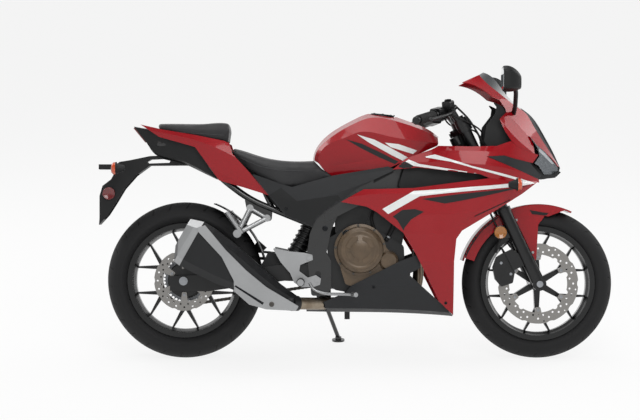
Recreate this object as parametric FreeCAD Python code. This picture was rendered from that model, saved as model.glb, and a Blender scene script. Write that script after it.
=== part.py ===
import FreeCAD, Part
import math
import os
from FreeCAD import Placement, Rotation, Vector

# A mid-size sport motorcycle with a parallel-twin engine, parked on its side stand.
# It is drawn upright: X runs forward from the rear axle, Y to the left, Z up from the ground,
# all in millimetres. At the end the whole machine leans onto its stand and takes its row frame.

# Chassis dimensions
wheelbase = 1410.0
rake_deg = 25.5
trail = 102.0
lean_deg = 11.0
steering_lock_deg = 34.0
row_origin_x = 682.0
row_origin_y = 190.0

# Wheels and tyres
bead_radius = 217.0
front_tyre_radius = 300.0
front_tyre_width = 120.0
front_crown_radius = 62.0
front_rim_half = 46.0
rear_tyre_radius = 312.0
rear_tyre_width = 160.0
rear_crown_radius = 84.0
rear_rim_half = 58.0
rim_flange_radius = 228.0
rim_window_radius = 196.0
rim_flange_thickness = 6.0
tyre_sides = 72
spoke_count = 6
spoke_split_deg = 15.0
spoke_fork_radius = 106.0
hub_radius = 31.0
axle_radius = 10.0
pin_clearance = 0.06
front_hub_half = 58.0
rear_hub_half = 62.0

# Brakes and final drive
front_disc_radius = 160.0
front_disc_inner = 116.0
front_disc_y = -63.0
rear_disc_radius = 120.0
rear_disc_inner = 84.0
rear_disc_y = -80.0
disc_thickness = 5.0
chain_y = 92.0
chain_width = 14.0
chain_pitch = 15.875
chain_half_height = 7.6
rear_teeth = 41
front_teeth = 15
drive_shaft_x = 612.0
drive_shaft_z = 338.0
tooth_gap = 0.7

# Fork and steering head, measured along the fork from the front axle
fork_y = 100.0
slider_radius = 26.0
slider_length = 318.0
fork_tube_radius = 20.5
fork_length = 728.0
yoke_spacing = 182.0
fork_tube_rise = 56.0
yoke_thickness = 24.0
stem_radius = 13.0
head_tube_radius = 31.0
head_gap = 1.0
grip_radius = 17.0
bar_radius = 11.0
bar_inner = (-32.6, 116.0, 35.3)
bar_outer = (-182.6, 352.0, -18.7)

# Swingarm and frame plates
pivot_x = 532.0
pivot_z = 340.0
arm_inner_y = 104.0
arm_width = 24.0
plate_y = 132.0
plate_thickness = 18.0
panel_thickness = 3.5
fit_gap = 0.3
engine_half = plate_y - plate_thickness / 2 - fit_gap
head_half = 101.7
hanger_y = 130.0
inner_panel_y = 160.0
cowl_bar_x = 1310.0
cowl_bar_z = 885.0
plate_hole_y = 34.0
plate_hole_z = 606.0
plate_hole_radius = 3.5
signal_x = -256.0
signal_y = 158.0
signal_z = 757.0

# Side stand
stand_pivot = (560.0, 139.0, 214.0)
stand_axis = (-0.106, 0.848, 0.520)
stand_reach = 124.0
stand_advance = 56.0
stand_pin_radius = 6.0
stand_swing_deg = 98.0

# Fuel filler
cap_radius = 52.0
cap_x = 790.0
neck_radius = 24.0
neck_depth = 90.0
cap_open_deg = 95.0

upper_yoke_s = fork_length - fork_tube_rise
lower_yoke_s = upper_yoke_s - yoke_spacing
rake = math.radians(rake_deg)
lean = math.radians(lean_deg)
fork_offset = front_tyre_radius * math.sin(rake) - trail * math.cos(rake)

# Leaning turns each wheel over its tread's crown, so the axle heights follow the crown radii
ground_lift = rear_crown_radius * (1 - math.cos(lean))
rear_axle = Vector(0, 0, rear_tyre_radius)
front_axle = Vector(
    wheelbase,
    0,
    front_tyre_radius - front_crown_radius + (front_crown_radius - ground_lift) / math.cos(lean),
)
fork_frame = Placement(front_axle, Rotation(Vector(0, 1, 0), -rake_deg))
steering_axis = fork_frame.Rotation.multVec(Vector(0, 0, 1))
steering_point = fork_frame.multVec(Vector(-fork_offset, 0, upper_yoke_s))
row_frame = Placement(Vector(-row_origin_x, -row_origin_y, ground_lift), Rotation(Vector(1, 0, 0), -lean_deg))
Y_AXIS = Vector(0, 1, 0)


# Shape helpers

def vec(point):
    return point if isinstance(point, Vector) else Vector(*point)


def fuse(*shapes):
    """One solid from pieces that overlap or share faces."""
    flat = []
    for shape in shapes:
        flat += list(shape) if isinstance(shape, (list, tuple)) else [shape]
    joined = flat[0].multiFuse(flat[1:]) if len(flat) > 1 else flat[0]
    return joined.removeSplitter()


def mirrored(shape):
    """The same shape on the other side of the machine."""
    return shape.mirror(Vector(0, 0, 0), Y_AXIS)


def both_sides(shape):
    return [shape, mirrored(shape)]


def rod(start, end, radius):
    start, end = vec(start), vec(end)
    return Part.makeCylinder(radius, start.distanceToPoint(end), start, end - start)


def block(x_low, x_high, y_low, y_high, z_low, z_high):
    return Part.makeBox(x_high - x_low, y_high - y_low, z_high - z_low, Vector(x_low, y_low, z_low))


def rounded_wire(points, radius):
    """A closed outline whose corners are arcs of the given radius, or less where a side is short."""
    points = [vec(p) for p in points]
    if radius <= 0:
        return Part.makePolygon(points + [points[0]])
    edges, starts, ends, middles = [], [], [], []
    for index, corner in enumerate(points):
        before = points[index - 1] - corner
        after = points[(index + 1) % len(points)] - corner
        half = before.getAngle(after) / 2
        reach = min(radius / math.tan(half), 0.45 * min(before.Length, after.Length))
        fitted = reach * math.tan(half)
        a, b = Vector(before).normalize(), Vector(after).normalize()
        starts.append(corner + a * reach)
        ends.append(corner + b * reach)
        middle = (a + b).normalize()
        middles.append(corner + middle * (fitted / math.sin(half) - fitted))
    for index in range(len(points)):
        edges.append(Part.Arc(starts[index], middles[index], ends[index]).toShape())
        edges.append(Part.makeLine(ends[index], starts[(index + 1) % len(points)]))
    return Part.Wire(edges)


def side_prism(outline, y_low, y_high, radius=0.0):
    """A side-view outline of (x, z) points, given thickness across the machine."""
    wire = rounded_wire([(x, y_low, z) for x, z in outline], radius)
    return Part.Face(wire).extrude(Vector(0, y_high - y_low, 0))


def faceted_ring(profile, sides):
    """A closed profile of (radius, y) points carried round the Y axis in straight steps, one step ending below."""
    rings = []
    for index in range(sides):
        angle = 2 * math.pi * index / sides - math.pi / 2
        rings.append([Vector(r * math.cos(angle), y, r * math.sin(angle)) for r, y in profile])
    faces = []
    for ring, following in zip(rings, rings[1:] + rings[:1]):
        for k in range(len(profile)):
            n = (k + 1) % len(profile)
            corners = [ring[k], ring[n], following[n], following[k]]
            faces.append(Part.Face(Part.makePolygon(corners + corners[:1])))
    return solid_of(faces)


def turned(profile, centre=(0, 0, 0)):
    """A solid of revolution about the Y axis through centre, from (radius, y) points."""
    wire = Part.makePolygon([Vector(r, y, 0) for r, y in profile + profile[:1]])
    solid = Part.Face(wire).revolve(Vector(0, 0, 0), Y_AXIS, 360)
    solid.translate(vec(centre))
    return solid


def around(shape, count, centre=(0, 0, 0), first_deg=0.0):
    """Copies of a shape spaced evenly about the Y axis through centre."""
    copies = []
    for index in range(count):
        copy = shape.copy()
        copy.rotate(vec(centre), Y_AXIS, first_deg + 360.0 * index / count)
        copies.append(copy)
    return copies


def bent_path(points, share=0.45):
    """Straight runs joined by tangent arcs, each as large as its two runs allow."""
    points = [vec(p) for p in points]
    edges, last = [], points[0]
    for before, corner, after in zip(points, points[1:], points[2:]):
        a, b = before - corner, after - corner
        reach = share * min(a.Length, b.Length)
        half = a.getAngle(b) / 2
        fitted = reach * math.tan(half)
        start = corner + Vector(a).normalize() * reach
        end = corner + Vector(b).normalize() * reach
        inward = (Vector(a).normalize() + Vector(b).normalize()).normalize()
        middle = corner + inward * (fitted / math.sin(half) - fitted)
        edges += [Part.makeLine(last, start), Part.Arc(start, middle, end).toShape()]
        last = end
    edges.append(Part.makeLine(last, points[-1]))
    return Part.Wire(edges)


def pipe(points, radius, bore=0.0):
    """A round bar or tube along straight runs and tangent arcs."""
    path = bent_path(points)
    start, direction = vec(points[0]), vec(points[1]) - vec(points[0])
    outer = Part.Wire(Part.makeCircle(radius, start, direction))
    solid = path.makePipeShell([outer], True, False)
    if bore:
        inner = Part.Wire(Part.makeCircle(bore, start, direction))
        solid = solid.cut(path.makePipeShell([inner], True, False))
    return solid


def box_loft(sections):
    """A beam through upright rectangles, each (x, y centre, z centre, width, height)."""
    wires = []
    for x, y, z, width, height in sections:
        corners = [
            Vector(x, y - width / 2, z - height / 2),
            Vector(x, y + width / 2, z - height / 2),
            Vector(x, y + width / 2, z + height / 2),
            Vector(x, y - width / 2, z + height / 2),
        ]
        wires.append(Part.makePolygon(corners + corners[:1]))
    return Part.makeLoft(wires, True, True)


# Body surfaces: character lines run along the machine and flat strips join each line to the next

def through(points, parameters):
    curve = Part.BSplineCurve()
    curve.interpolate(Points=points, Parameters=parameters)
    return curve


def sampled(line, count):
    """Points spread along a smooth line through its chosen points."""
    points = [vec(p) for p in line]
    lengths = [0.0]
    for a, b in zip(points, points[1:]):
        lengths.append(lengths[-1] + a.distanceToPoint(b))
    parameters = [s / lengths[-1] for s in lengths]
    curve = through(points, parameters)
    return [curve.value(k / (count - 1)) for k in range(count)]


def solid_of(faces):
    shell = Part.makeShell(faces)
    shell.sewShape()
    solid = Part.makeSolid(shell)
    return solid if solid.Volume > 0 else Part.makeSolid(shell.reversed())


def skin(lines, thickness, facing=(0, 1, 0), stations=7):
    """A sheet of even thickness behind the surface that the character lines carry."""
    outer = [sampled(line, stations) for line in lines]
    steps = [k / (stations - 1) for k in range(stations)]
    facing = vec(facing)
    inner = []
    for i, row in enumerate(outer):
        shifted = []
        for k, point in enumerate(row):
            along = row[min(k + 1, stations - 1)] - row[max(k - 1, 0)]
            across = outer[min(i + 1, len(outer) - 1)][k] - outer[max(i - 1, 0)][k]
            normal = along.cross(across).normalize()
            if normal.dot(facing) < 0:
                normal = normal * -1
            shifted.append(point - normal * thickness)
        inner.append(shifted)
    front = [through(row, steps).toShape() for row in outer]
    back = [through(row, steps).toShape() for row in inner]
    faces = [Part.makeRuledSurface(front[0], back[0]), Part.makeRuledSurface(front[-1], back[-1])]
    for i in range(len(lines) - 1):
        faces.append(Part.makeRuledSurface(front[i], front[i + 1]))
        faces.append(Part.makeRuledSurface(back[i], back[i + 1]))
        for k in (0, stations - 1):
            faces.append(
                Part.makeRuledSurface(
                    Part.makeLine(outer[i][k], outer[i + 1][k]),
                    Part.makeLine(inner[i][k], inner[i + 1][k]),
                )
            )
    return solid_of(faces)


def symmetric_body(lines, stations=8):
    """A closed body from character lines of its left half, the first one on the centre plane."""
    left = [sampled(line, stations) for line in lines]
    steps = [k / (stations - 1) for k in range(stations)]
    right = [[Vector(p.x, -p.y, p.z) for p in row] for row in left]
    left_edges = [through(row, steps).toShape() for row in left]
    right_edges = [left_edges[0]] + [through(row, steps).toShape() for row in right[1:]]
    faces = []
    for i in range(len(lines) - 1):
        faces.append(Part.makeRuledSurface(left_edges[i], left_edges[i + 1]))
        faces.append(Part.makeRuledSurface(right_edges[i], right_edges[i + 1]))
        for k in (0, stations - 1):
            ring = [left[i][k], left[i + 1][k], right[i + 1][k]]
            if i > 0:
                ring.append(right[i][k])
            faces.append(Part.Face(Part.makePolygon(ring + ring[:1])))
    faces.append(Part.makeRuledSurface(left_edges[-1], right_edges[-1]))
    return solid_of(faces)


def largest(shape):
    return max(shape.Solids, key=lambda s: s.Volume)


def seated(piece, neighbour, away):
    """What a neighbour's surface leaves of a piece on the side called away, moved back by a small step."""
    away = vec(away)
    trimmed = max(piece.cut(neighbour).Solids, key=lambda s: s.CenterOfMass.dot(away))
    trimmed.translate(away * fit_gap)
    return trimmed


def cut_to(sheet, outline, radius=0.0, y_low=0.0, y_high=420.0):
    """The part of a sheet inside a side-view outline."""
    return largest(sheet.common(side_prism(outline, y_low, y_high, radius)))


# Wheels

def tyre(radius, width, crown, bead_half):
    """A tyre in straight steps: a round tread with an edge where the leaning wheel stands, flank and bead."""
    tread = []
    for degrees in (lean_deg, 36, 62):
        angle = math.radians(degrees)
        tread.append((radius - crown + crown * math.cos(angle), crown * math.sin(angle)))
    seat = bead_half - fit_gap
    flank = [(0.4 * radius + 0.6 * bead_radius, width / 2), (rim_flange_radius + 4, bead_half + 4)]
    bead = [(rim_flange_radius + 0.5, seat), (bead_radius + fit_gap, seat)]
    half = tread + flank + bead
    return faceted_ring([(r, -y) for r, y in reversed(half)] + half, tyre_sides)


def y_spoke(depth):
    """A spoke that forks in two, pointing along +X from the wheel's centre."""
    split = math.radians(spoke_split_deg)
    stem = side_prism(
        [(hub_radius - 6, -13), (spoke_fork_radius + 6, -8), (spoke_fork_radius + 6, 8), (hub_radius - 6, 13)],
        -depth / 2,
        depth / 2,
    )
    tine_end = rim_window_radius + 4
    ends = (tine_end * math.cos(split), tine_end * math.sin(split))
    tine = side_prism(
        [
            (spoke_fork_radius - 14, -2),
            (spoke_fork_radius - 4, 10),
            (ends[0] - 0.9, ends[1] + 3.4),
            (ends[0] + 0.9, ends[1] - 3.4),
            (spoke_fork_radius + 10, -2),
        ],
        -0.36 * depth,
        0.36 * depth,
    )
    return [stem, tine, tine.mirror(Vector(0, 0, 0), Vector(0, 0, 1))]


def rim(half, hub_half, spoke_depth, hub_flanges, first_deg):
    """A cast wheel: barrel, forked spokes and hub, bored for its axle."""
    edge = half + rim_flange_thickness
    barrel = turned(
        [
            (rim_flange_radius, -edge),
            (rim_flange_radius, -half),
            (bead_radius, -half),
            (bead_radius, half),
            (rim_flange_radius, half),
            (rim_flange_radius, edge),
            (rim_window_radius + 12, edge),
            (rim_window_radius + 8, half - 8),
            (rim_window_radius, 17),
            (rim_window_radius, -17),
            (rim_window_radius + 8, 8 - half),
            (rim_window_radius + 12, -edge),
        ]
    )
    hub = turned([(5, -hub_half), (hub_radius, -hub_half)] + [(hub_radius, hub_half), (5, hub_half)])
    spokes = []
    for piece in y_spoke(spoke_depth):
        spokes += around(piece, spoke_count, first_deg=first_deg)
    bore = rod((0, -hub_half - 1, 0), (0, hub_half + 1, 0), axle_radius + pin_clearance)
    return fuse([barrel, hub] + spokes + hub_flanges).cut(bore)


def wave_disc(radius, inner, y, waves, lugs, lug_reach, bolt_radius, hole_rings):
    """A brake disc with a waved edge, drilled rings and bolted lugs on its inner edge."""
    low, high = y - disc_thickness / 2, y + disc_thickness / 2
    ring = rod((0, low, 0), (0, high, 0), radius).cut(rod((0, low, 0), (0, high, 0), inner))
    scallop = 0.19 * radius
    dip = rod((radius + scallop * 0.86, low, 0), (radius + scallop * 0.86, high, 0), scallop)
    inner_dip = rod((inner - scallop * 0.1, low, 0), (inner - scallop * 0.1, high, 0), scallop * 0.35)
    lug = side_prism(
        [(lug_reach, -9), (inner + 6, -15), (inner + 6, 15), (lug_reach, 9)], low, high, 4.0
    )
    bolt_hole = rod((bolt_radius, low, 0), (bolt_radius, high, 0), 4.2)
    cuts = around(dip, waves) + around(inner_dip, waves, first_deg=180.0 / waves)
    for hole_radius, ring_radius, count, start in hole_rings:
        hole = rod((ring_radius, low - 1, 0), (ring_radius, high + 1, 0), hole_radius)
        cuts += around(hole, count, first_deg=start)
    disc = ring.cut(cuts)
    return disc.fuse(around(lug, lugs, first_deg=lug_first_deg)).removeSplitter().cut(
        around(bolt_hole, lugs, first_deg=lug_first_deg)
    )


lug_first_deg = 30.0


def front_wheel():
    boss_inner = front_disc_y + disc_thickness / 2 + fit_gap
    boss = rod((spoke_fork_radius, -11, 0), (spoke_fork_radius, boss_inner, 0), 10)
    flange = around(boss, spoke_count, first_deg=lug_first_deg)
    rings = [(4.0, 127, 20, 9), (4.0, 140, 20, 0), (3.2, 151, 10, 9)]
    return {
        "front_rim": rim(front_rim_half, front_hub_half, 34, flange, lug_first_deg),
        "front_tyre": tyre(front_tyre_radius, front_tyre_width, front_crown_radius, front_rim_half),
        "front_disc": wave_disc(
            front_disc_radius, front_disc_inner, front_disc_y, 10, spoke_count,
            spoke_fork_radius - 12, spoke_fork_radius, rings,
        ),
    }


def rear_wheel():
    carrier_y = chain_y - 3.5
    disc_face = rear_disc_y + disc_thickness / 2
    disc_boss = turned([(26, -34), (60, -34), (66, disc_face + fit_gap), (26, disc_face + fit_gap)])
    drive_boss = turned([(26, 30), (74, 30), (70, carrier_y - fit_gap), (26, carrier_y - fit_gap)])
    rings = [(3.6, 94, 20, 9), (3.6, 106, 20, 0)]
    return {
        "rear_rim": rim(rear_rim_half, rear_hub_half, 40, [disc_boss, drive_boss], lug_first_deg).cut(
            rod((0, -120, 0), (0, 120, 0), axle_radius + pin_clearance)
        ),
        "rear_tyre": tyre(rear_tyre_radius, rear_tyre_width, rear_crown_radius, rear_rim_half),
        "rear_disc": wave_disc(rear_disc_radius, rear_disc_inner, rear_disc_y, 10, spoke_count, 46, 56, rings),
        "rear_sprocket": sprocket(rear_teeth, 34.0, carrier_y, carrier_y + 6),
    }


def pitch_radius(teeth):
    return chain_pitch / (2 * math.sin(math.pi / teeth))


def sprocket(teeth, bore, y_low, y_high):
    """A toothed plate with five windows, its tips just inside the chain's plates."""
    tip = pitch_radius(teeth) - chain_half_height - tooth_gap
    root = tip - 7
    points = []
    for index in range(teeth):
        middle = 2 * math.pi * index / teeth
        half = math.pi / teeth
        for angle, radius in ((-0.55, root), (-0.22, tip), (0.22, tip), (0.55, root)):
            a = middle + angle * half
            points.append((radius * math.cos(a), radius * math.sin(a)))
    plate = side_prism(points, y_low, y_high)
    window = rod((0.66 * root, y_low, 0), (0.66 * root, y_high, 0), 0.17 * root)
    return plate.cut([rod((0, y_low, 0), (0, y_high, 0), bore)] + around(window, 5))


# Final drive chain

def chain_layout():
    """Both pitch radii, the way from the rear axle to the output shaft, and the angles of the two runs."""
    big, small = pitch_radius(rear_teeth), pitch_radius(front_teeth)
    span = Vector(drive_shaft_x - rear_axle.x, 0, drive_shaft_z - rear_axle.z)
    return big, small, span, math.atan2(span.z, span.x), math.acos((big - small) / span.Length)


def upper_run(x):
    """Height of the pins along the chain's upper run."""
    big, small, span, tilt, lag = chain_layout()
    return rear_axle.z + (big - x * math.cos(tilt + lag)) / math.sin(tilt + lag)


def chain_loop():
    """The chain's path round both sprockets as one closed band with a waist between its pins."""
    big, small, span, tilt, lag = chain_layout()
    run = math.sqrt(span.Length**2 - (big - small) ** 2)
    rear_arc, front_arc = 2 * (math.pi - lag) * big, 2 * lag * small
    total = rear_arc + front_arc + 2 * run
    links = round(total / chain_pitch)
    step = total / (2 * links)

    def place(distance, offset):
        """A point at a distance along the loop, starting where the lower run leaves the rear sprocket."""
        if distance < run:
            angle = tilt - lag
            start = Vector(big * math.cos(angle), 0, big * math.sin(angle))
            tangent = Vector(-math.sin(angle), 0, math.cos(angle))
            outward = Vector(math.cos(angle), 0, math.sin(angle))
            return start + tangent * distance + outward * offset
        distance -= run
        if distance < front_arc:
            angle = tilt - lag + distance / small
            return span + Vector(math.cos(angle), 0, math.sin(angle)) * (small + offset)
        distance -= front_arc
        if distance < run:
            angle = tilt + lag
            start = span + Vector(small * math.cos(angle), 0, small * math.sin(angle))
            tangent = Vector(-math.sin(angle), 0, math.cos(angle))
            outward = Vector(math.cos(angle), 0, math.sin(angle))
            return start + tangent * distance + outward * offset
        distance -= run
        angle = tilt + lag + distance / big
        return Vector(math.cos(angle), 0, math.sin(angle)) * (big + offset)

    outer, inner = [], []
    for index in range(2 * links):
        offset = chain_half_height if index % 2 == 0 else 0.62 * chain_half_height
        outer.append(place(index * step, offset))
        inner.append(place(index * step, -offset))
    band = []
    for ring in (outer, inner):
        points = [rear_axle + p + Vector(0, chain_y - chain_width / 2, 0) for p in ring]
        band.append(Part.Face(Part.makePolygon(points + points[:1])).extrude(Vector(0, chain_width, 0)))
    return band[0].cut(band[1])


# Fork, steering and front wheel carriers, drawn in the fork's own frame and then raked

def in_fork_frame(shape):
    shape.Placement = fork_frame.multiply(shape.Placement)
    return shape


def fork_legs():
    """Both legs as one piece: slider, dust seal, axle lug and the tube that the yokes clamp."""
    lug_width = 2 * slider_radius - 8
    slider = rod((0, fork_y, 14), (0, fork_y, slider_length), slider_radius)
    seal = rod((0, fork_y, slider_length), (0, fork_y, slider_length + 14), slider_radius + 2)
    lug = rod((0, fork_y - lug_width / 2, 0), (0, fork_y + lug_width / 2, 0), slider_radius + 1)
    tube = rod((0, fork_y, slider_length), (0, fork_y, fork_length), fork_tube_radius)
    cap = rod((0, fork_y, fork_length), (0, fork_y, fork_length + 9), 14)
    bore = rod((0, 0, 0), (0, 150, 0), axle_radius)
    return both_sides(in_fork_frame(fuse(slider, seal, lug, tube, cap).cut(bore)))


def yokes():
    """Both triple clamps and the stem that turns in the head tube."""
    def clamp(s, thickness, ear):
        plate = Part.Face(
            rounded_wire(
                [
                    (-fork_offset - 26, -30, s), (-fork_offset - 20, 30, s), (-12, fork_y + ear * 0.4, s),
                    (8, fork_y + ear * 0.4, s), (26, 60, s), (26, -60, s),
                    (8, -fork_y - ear * 0.4, s), (-12, -fork_y - ear * 0.4, s), (-fork_offset - 20, -30, s),
                ],
                12,
            )
        ).extrude(Vector(0, 0, thickness))
        ears = both_sides(rod((0, fork_y, s), (0, fork_y, s + thickness), ear))
        return fuse([plate] + ears)

    lower = clamp(lower_yoke_s, yoke_thickness, fork_tube_radius + 9)
    upper = clamp(upper_yoke_s, 18, fork_tube_radius + 8)
    stem = rod((-fork_offset, 0, lower_yoke_s), (-fork_offset, 0, upper_yoke_s + 18), stem_radius)
    nut = rod((-fork_offset, 0, upper_yoke_s + 10), (-fork_offset, 0, upper_yoke_s + 26), 17)
    holes = both_sides(rod((0, fork_y, lower_yoke_s - 5), (0, fork_y, fork_length), fork_tube_radius))
    service_bore = rod((-fork_offset, 0, lower_yoke_s - 5), (-fork_offset, 0, lower_yoke_s + 60), 8.5)
    return in_fork_frame(fuse(lower, upper, stem, nut).cut(holes + [service_bore]))


def front_axle_pin():
    head = rod((0, -fork_y - 34, 0), (0, -fork_y - 22, 0), 13)
    pin = rod((0, -fork_y - 30, 0), (0, fork_y + 24, 0), axle_radius)
    nut = rod((0, fork_y + 22, 0), (0, fork_y + 30, 0), 12.5)
    lug_half = (2 * slider_radius - 8) / 2
    collars = both_sides(rod((0, front_hub_half + 1, 0), (0, fork_y - lug_half - fit_gap, 0), 13.5))
    axle = fuse([pin, head, nut] + collars)
    axle.translate(front_axle)
    return axle


def bar_frame():
    """The left bar's inner end and its directions, placed from the tops of the fork tubes."""
    top = fork_frame.multVec(Vector(0, 0, fork_length))
    inner, outer = top + Vector(*bar_inner), top + Vector(*bar_outer)
    along = (outer - inner).normalize()
    forward = along.cross(Vector(0, 0, 1)).normalize()
    return inner, along, forward, forward.cross(along).normalize()


def master_outlet():
    """Where the brake hose leaves the right bar's master cylinder."""
    inner, along, forward, up = bar_frame()
    point = inner + along * 20 + forward * 27 + up * 16
    return Vector(point.x, -point.y, point.z)


def handlebars():
    """Two clip-on bars with their clamps, grips, switch boxes, perches and levers."""
    inner, along, forward, up = bar_frame()
    length = Vector(*bar_inner).distanceToPoint(Vector(*bar_outer))

    def at(distance, ahead=0.0, above=0.0):
        return inner + along * distance + forward * ahead + up * above

    def box_at(start, end, low, high, ahead_low, ahead_high):
        corners = [at(start, ahead_low, low), at(start, ahead_high, low), at(start, ahead_high, high), at(start, ahead_low, high)]
        return Part.Face(rounded_wire(corners, 7)).extrude(along * (end - start))

    ring = rod((0, fork_y, upper_yoke_s + 18.5), (0, fork_y, fork_length - 4), fork_tube_radius + 10)
    ring = in_fork_frame(ring.cut(rod((0, fork_y, upper_yoke_s), (0, fork_y, fork_length), fork_tube_radius)))
    ring_centre = fork_frame.multVec(Vector(0, fork_y, fork_length - 20))
    arm = rod(ring_centre + Vector(-16, 12, 8), at(14), 14).cut(
        in_fork_frame(rod((0, fork_y, upper_yoke_s), (0, fork_y, fork_length + 40), fork_tube_radius + 4))
    )
    bar = rod(inner - along * 6, at(length - 4), bar_radius)
    grip = rod(at(length - 128), at(length - 6), grip_radius)
    end_weight = rod(at(length - 8), at(length + 14), 14)
    collar = rod(at(length - 134), at(length - 128), grip_radius + 5)
    switches = box_at(length - 196, length - 140, -26, 24, -20, 24)
    perch = box_at(length - 232, length - 200, -13, 15, -14, 44)
    knuckle = rod(at(length - 216, 40, -13), at(length - 216, 40, 13), 12)
    lever = pipe([at(length - 214, 42), at(length - 170, 62), at(length - 90, 66), at(length - 6, 58)], 6)
    left = fuse(ring, arm, bar, grip, end_weight, collar, switches, perch, knuckle, lever)
    cylinder = rod(at(length - 222, 26, 2), at(length - 262, 26, 12), 11)
    right = fuse(left, cylinder, box_at(length - 226, length - 190, 13, 44, 8, 44))
    return [left, mirrored(right)]


def front_fender():
    """A hugging mudguard over the tyre, with side blades that bolt to the fork sliders."""
    inner, outer = front_tyre_radius + 13, front_tyre_radius + 17
    half = 70
    hoop = turned([(inner, -half), (outer, -half + 6), (outer, half - 6), (inner, half), (inner - 3, half - 3), (inner - 3, 3 - half)])
    crown = turned([(inner - 3, half - 4), (inner + 1, half), (inner - 42, half + 1), (inner - 42, half - 3)])
    sector = side_prism(
        [(0, 0), (430, 60), (440, 300), (190, 430), (-240, 400), (-420, 240), (-430, 92)], -120, 120
    )
    low_sector = side_prism([(0, 0), (-20, 430), (-240, 400), (-420, 240), (-430, 92)], -120, 120)
    top = hoop.common(side_prism([(0, 0), (135, 290), (150, 420), (-240, 420), (-420, 240), (-430, 130)], -120, 120))
    skirt_sector = side_prism([(0, 0), (16, 258), (88, 286), (152, 308), (150, 420), (-240, 420), (-420, 240), (-400, 140)], -120, 120)
    skirts = [piece.common(skirt_sector) for piece in both_sides(crown)]
    blade = side_prism(
        [(-104, 292), (25, 268), (0, 236), (-8, 92), (-28, 92), (-96, 238)], half - 4, half, 8
    )
    bridge = side_prism([(-104, 292), (25, 268), (12, 250), (-98, 256)], half - 4, half)
    fender = fuse([top] + skirts + both_sides(blade) + both_sides(bridge))
    fender.translate(front_axle)
    return fender


# Engine, exhaust and cooling

def engine_block():
    """Crankcase, leaning cylinder block, head and cam cover of a parallel twin, with its output sprocket."""
    case = side_prism(
        [(572, 300), (600, 276), (700, 258), (850, 270), (878, 330), (872, 452), (780, 506), (640, 520), (566, 476), (572, 400)],
        -engine_half, engine_half, 20,
    )
    cylinder = side_prism([(706, 480), (862, 438), (894, 600), (760, 640)], -98, 98, 8)
    head = side_prism([(752, 632), (896, 594), (908, 668), (780, 704)], -head_half, head_half, 10)
    cover = side_prism([(786, 698), (902, 664), (898, 700), (868, 720), (806, 726)], -92, 92, 12)
    pocket = rod((drive_shaft_x, 76, drive_shaft_z), (drive_shaft_x, 140, drive_shaft_z), 56).fuse(
        side_prism([(480, 276), (612, 282), (612, 394), (480, 404)], 76, 140)
    )
    intake = side_prism([(600, 500), (720, 486), (770, 560), (770, 622), (640, 626), (600, 590)], -84, 84, 10)
    filter_housing = rod((860, 0, 332), (900, 0, 326), 32)
    shaft = rod((drive_shaft_x, 60, drive_shaft_z), (drive_shaft_x, chain_y + 12, drive_shaft_z), 14)
    posts = [seated(rod((x, y, 290), (x, y, 150), 11), belly_pan(), (0, 0, 1)) for x, y in ((650, 68), (820, 64))]
    return fuse([fuse(case, cylinder, head, cover, intake).cut(pocket), filter_housing, shaft, front_sprocket()] + posts)


def front_sprocket():
    plate = sprocket(front_teeth, 14.0, chain_y - 3.5, chain_y + 2.5)
    plate.translate(Vector(drive_shaft_x, 0, drive_shaft_z))
    return plate


def clutch_cover():
    """Round cover over the clutch with its lower pump lobe and sump extension."""
    face = -engine_half - fit_gap
    dome = turned([(0.5, -198), (78, -198), (88, -190), (92, -166), (102, -164), (102, face), (0.5, face)], (698, 0, 436))
    lobe = turned([(0.5, -176), (30, -176), (37, -168), (42, face), (0.5, face)], (810, 0, 392))
    skirt = side_prism([(604, 420), (640, 300), (690, 286), (800, 352), (840, 400), (780, 470)], -160, face, 16)
    port = rod((646, -186, 500), (646, -150, 500), 15)
    return fuse(dome, lobe, skirt, port)


def alternator_cover():
    """The round cover over the alternator on the left."""
    face = engine_half + fit_gap
    dome = turned([(0.5, 176), (58, 176), (72, 166), (80, 150), (86, face), (0.5, face)], (742, 0, 420))
    skirt = side_prism([(672, 330), (800, 330), (846, 400), (800, 488), (690, 492)], face, 156, 18)
    return fuse(dome, skirt)


def sprocket_cover():
    """The cover over the output sprocket."""
    outline = [(590, 300), (640, 284), (690, 330), (690, 392), (664, 424), (628, 424), (590, 404)]
    return side_prism(outline, engine_half + fit_gap, 148, 14)


def radiator():
    """A leaning core with its side tanks, carried by two arms from the engine's hangers."""
    core = side_prism([(966, 452), (1000, 446), (1044, 716), (1010, 722)], -148, 148)
    tanks = both_sides(side_prism([(960, 446), (1004, 438), (1050, 722), (1006, 730)], 140, inner_panel_y - fit_gap, 5))
    arm = [(846, 622), (892, 634), (1030, 700), (1030, 716), (880, 656), (846, 640)]
    arms = both_sides(side_prism(arm, hanger_y + fit_gap, hanger_y + 6))
    return fuse([core] + tanks + arms)


def exhaust_pipes():
    """Two headers that meet under the engine and lead out on the right to the silencer."""
    outward = Vector(9, 0, -1.5)
    left = pipe([head_port(44) + outward * 0.6, (936, 44, 622), (934, 40, 300), (900, 20, 222), (780, -22, 222)], 19)
    right = pipe([head_port(-44) + outward * 0.6, (936, -44, 622), (934, -50, 300), (900, -48, 222), (780, -22, 222)], 19)
    link = pipe([(810, -22, 222)] + link_route, 24)
    flanges = [rod(head_port(y), head_port(y) + outward, 25) for y in (44, -44)]
    return fuse([left, right, link] + flanges)


def head_port(y):
    """Just off the cylinder head's front face, which leans with the cylinders."""
    return Vector(902.6 + fit_gap, y, 634)


link_route = [(640, -44, 222), (540, -120, 222), (452, -182, 226)]
muffler_axis_low = Vector(428, -188, 232)
muffler_axis_high = Vector(20, -196, 462)
muffler_sections = [
    # distance up the axis, half height, half width, height of the middle above the axis
    (-10, 27, 27, 4), (70, 38, 40, 2), (150, 58, 48, 0), (300, 86, 52, 4), (400, 96, 53, 8), (452, 97, 53, 8),
]


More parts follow.
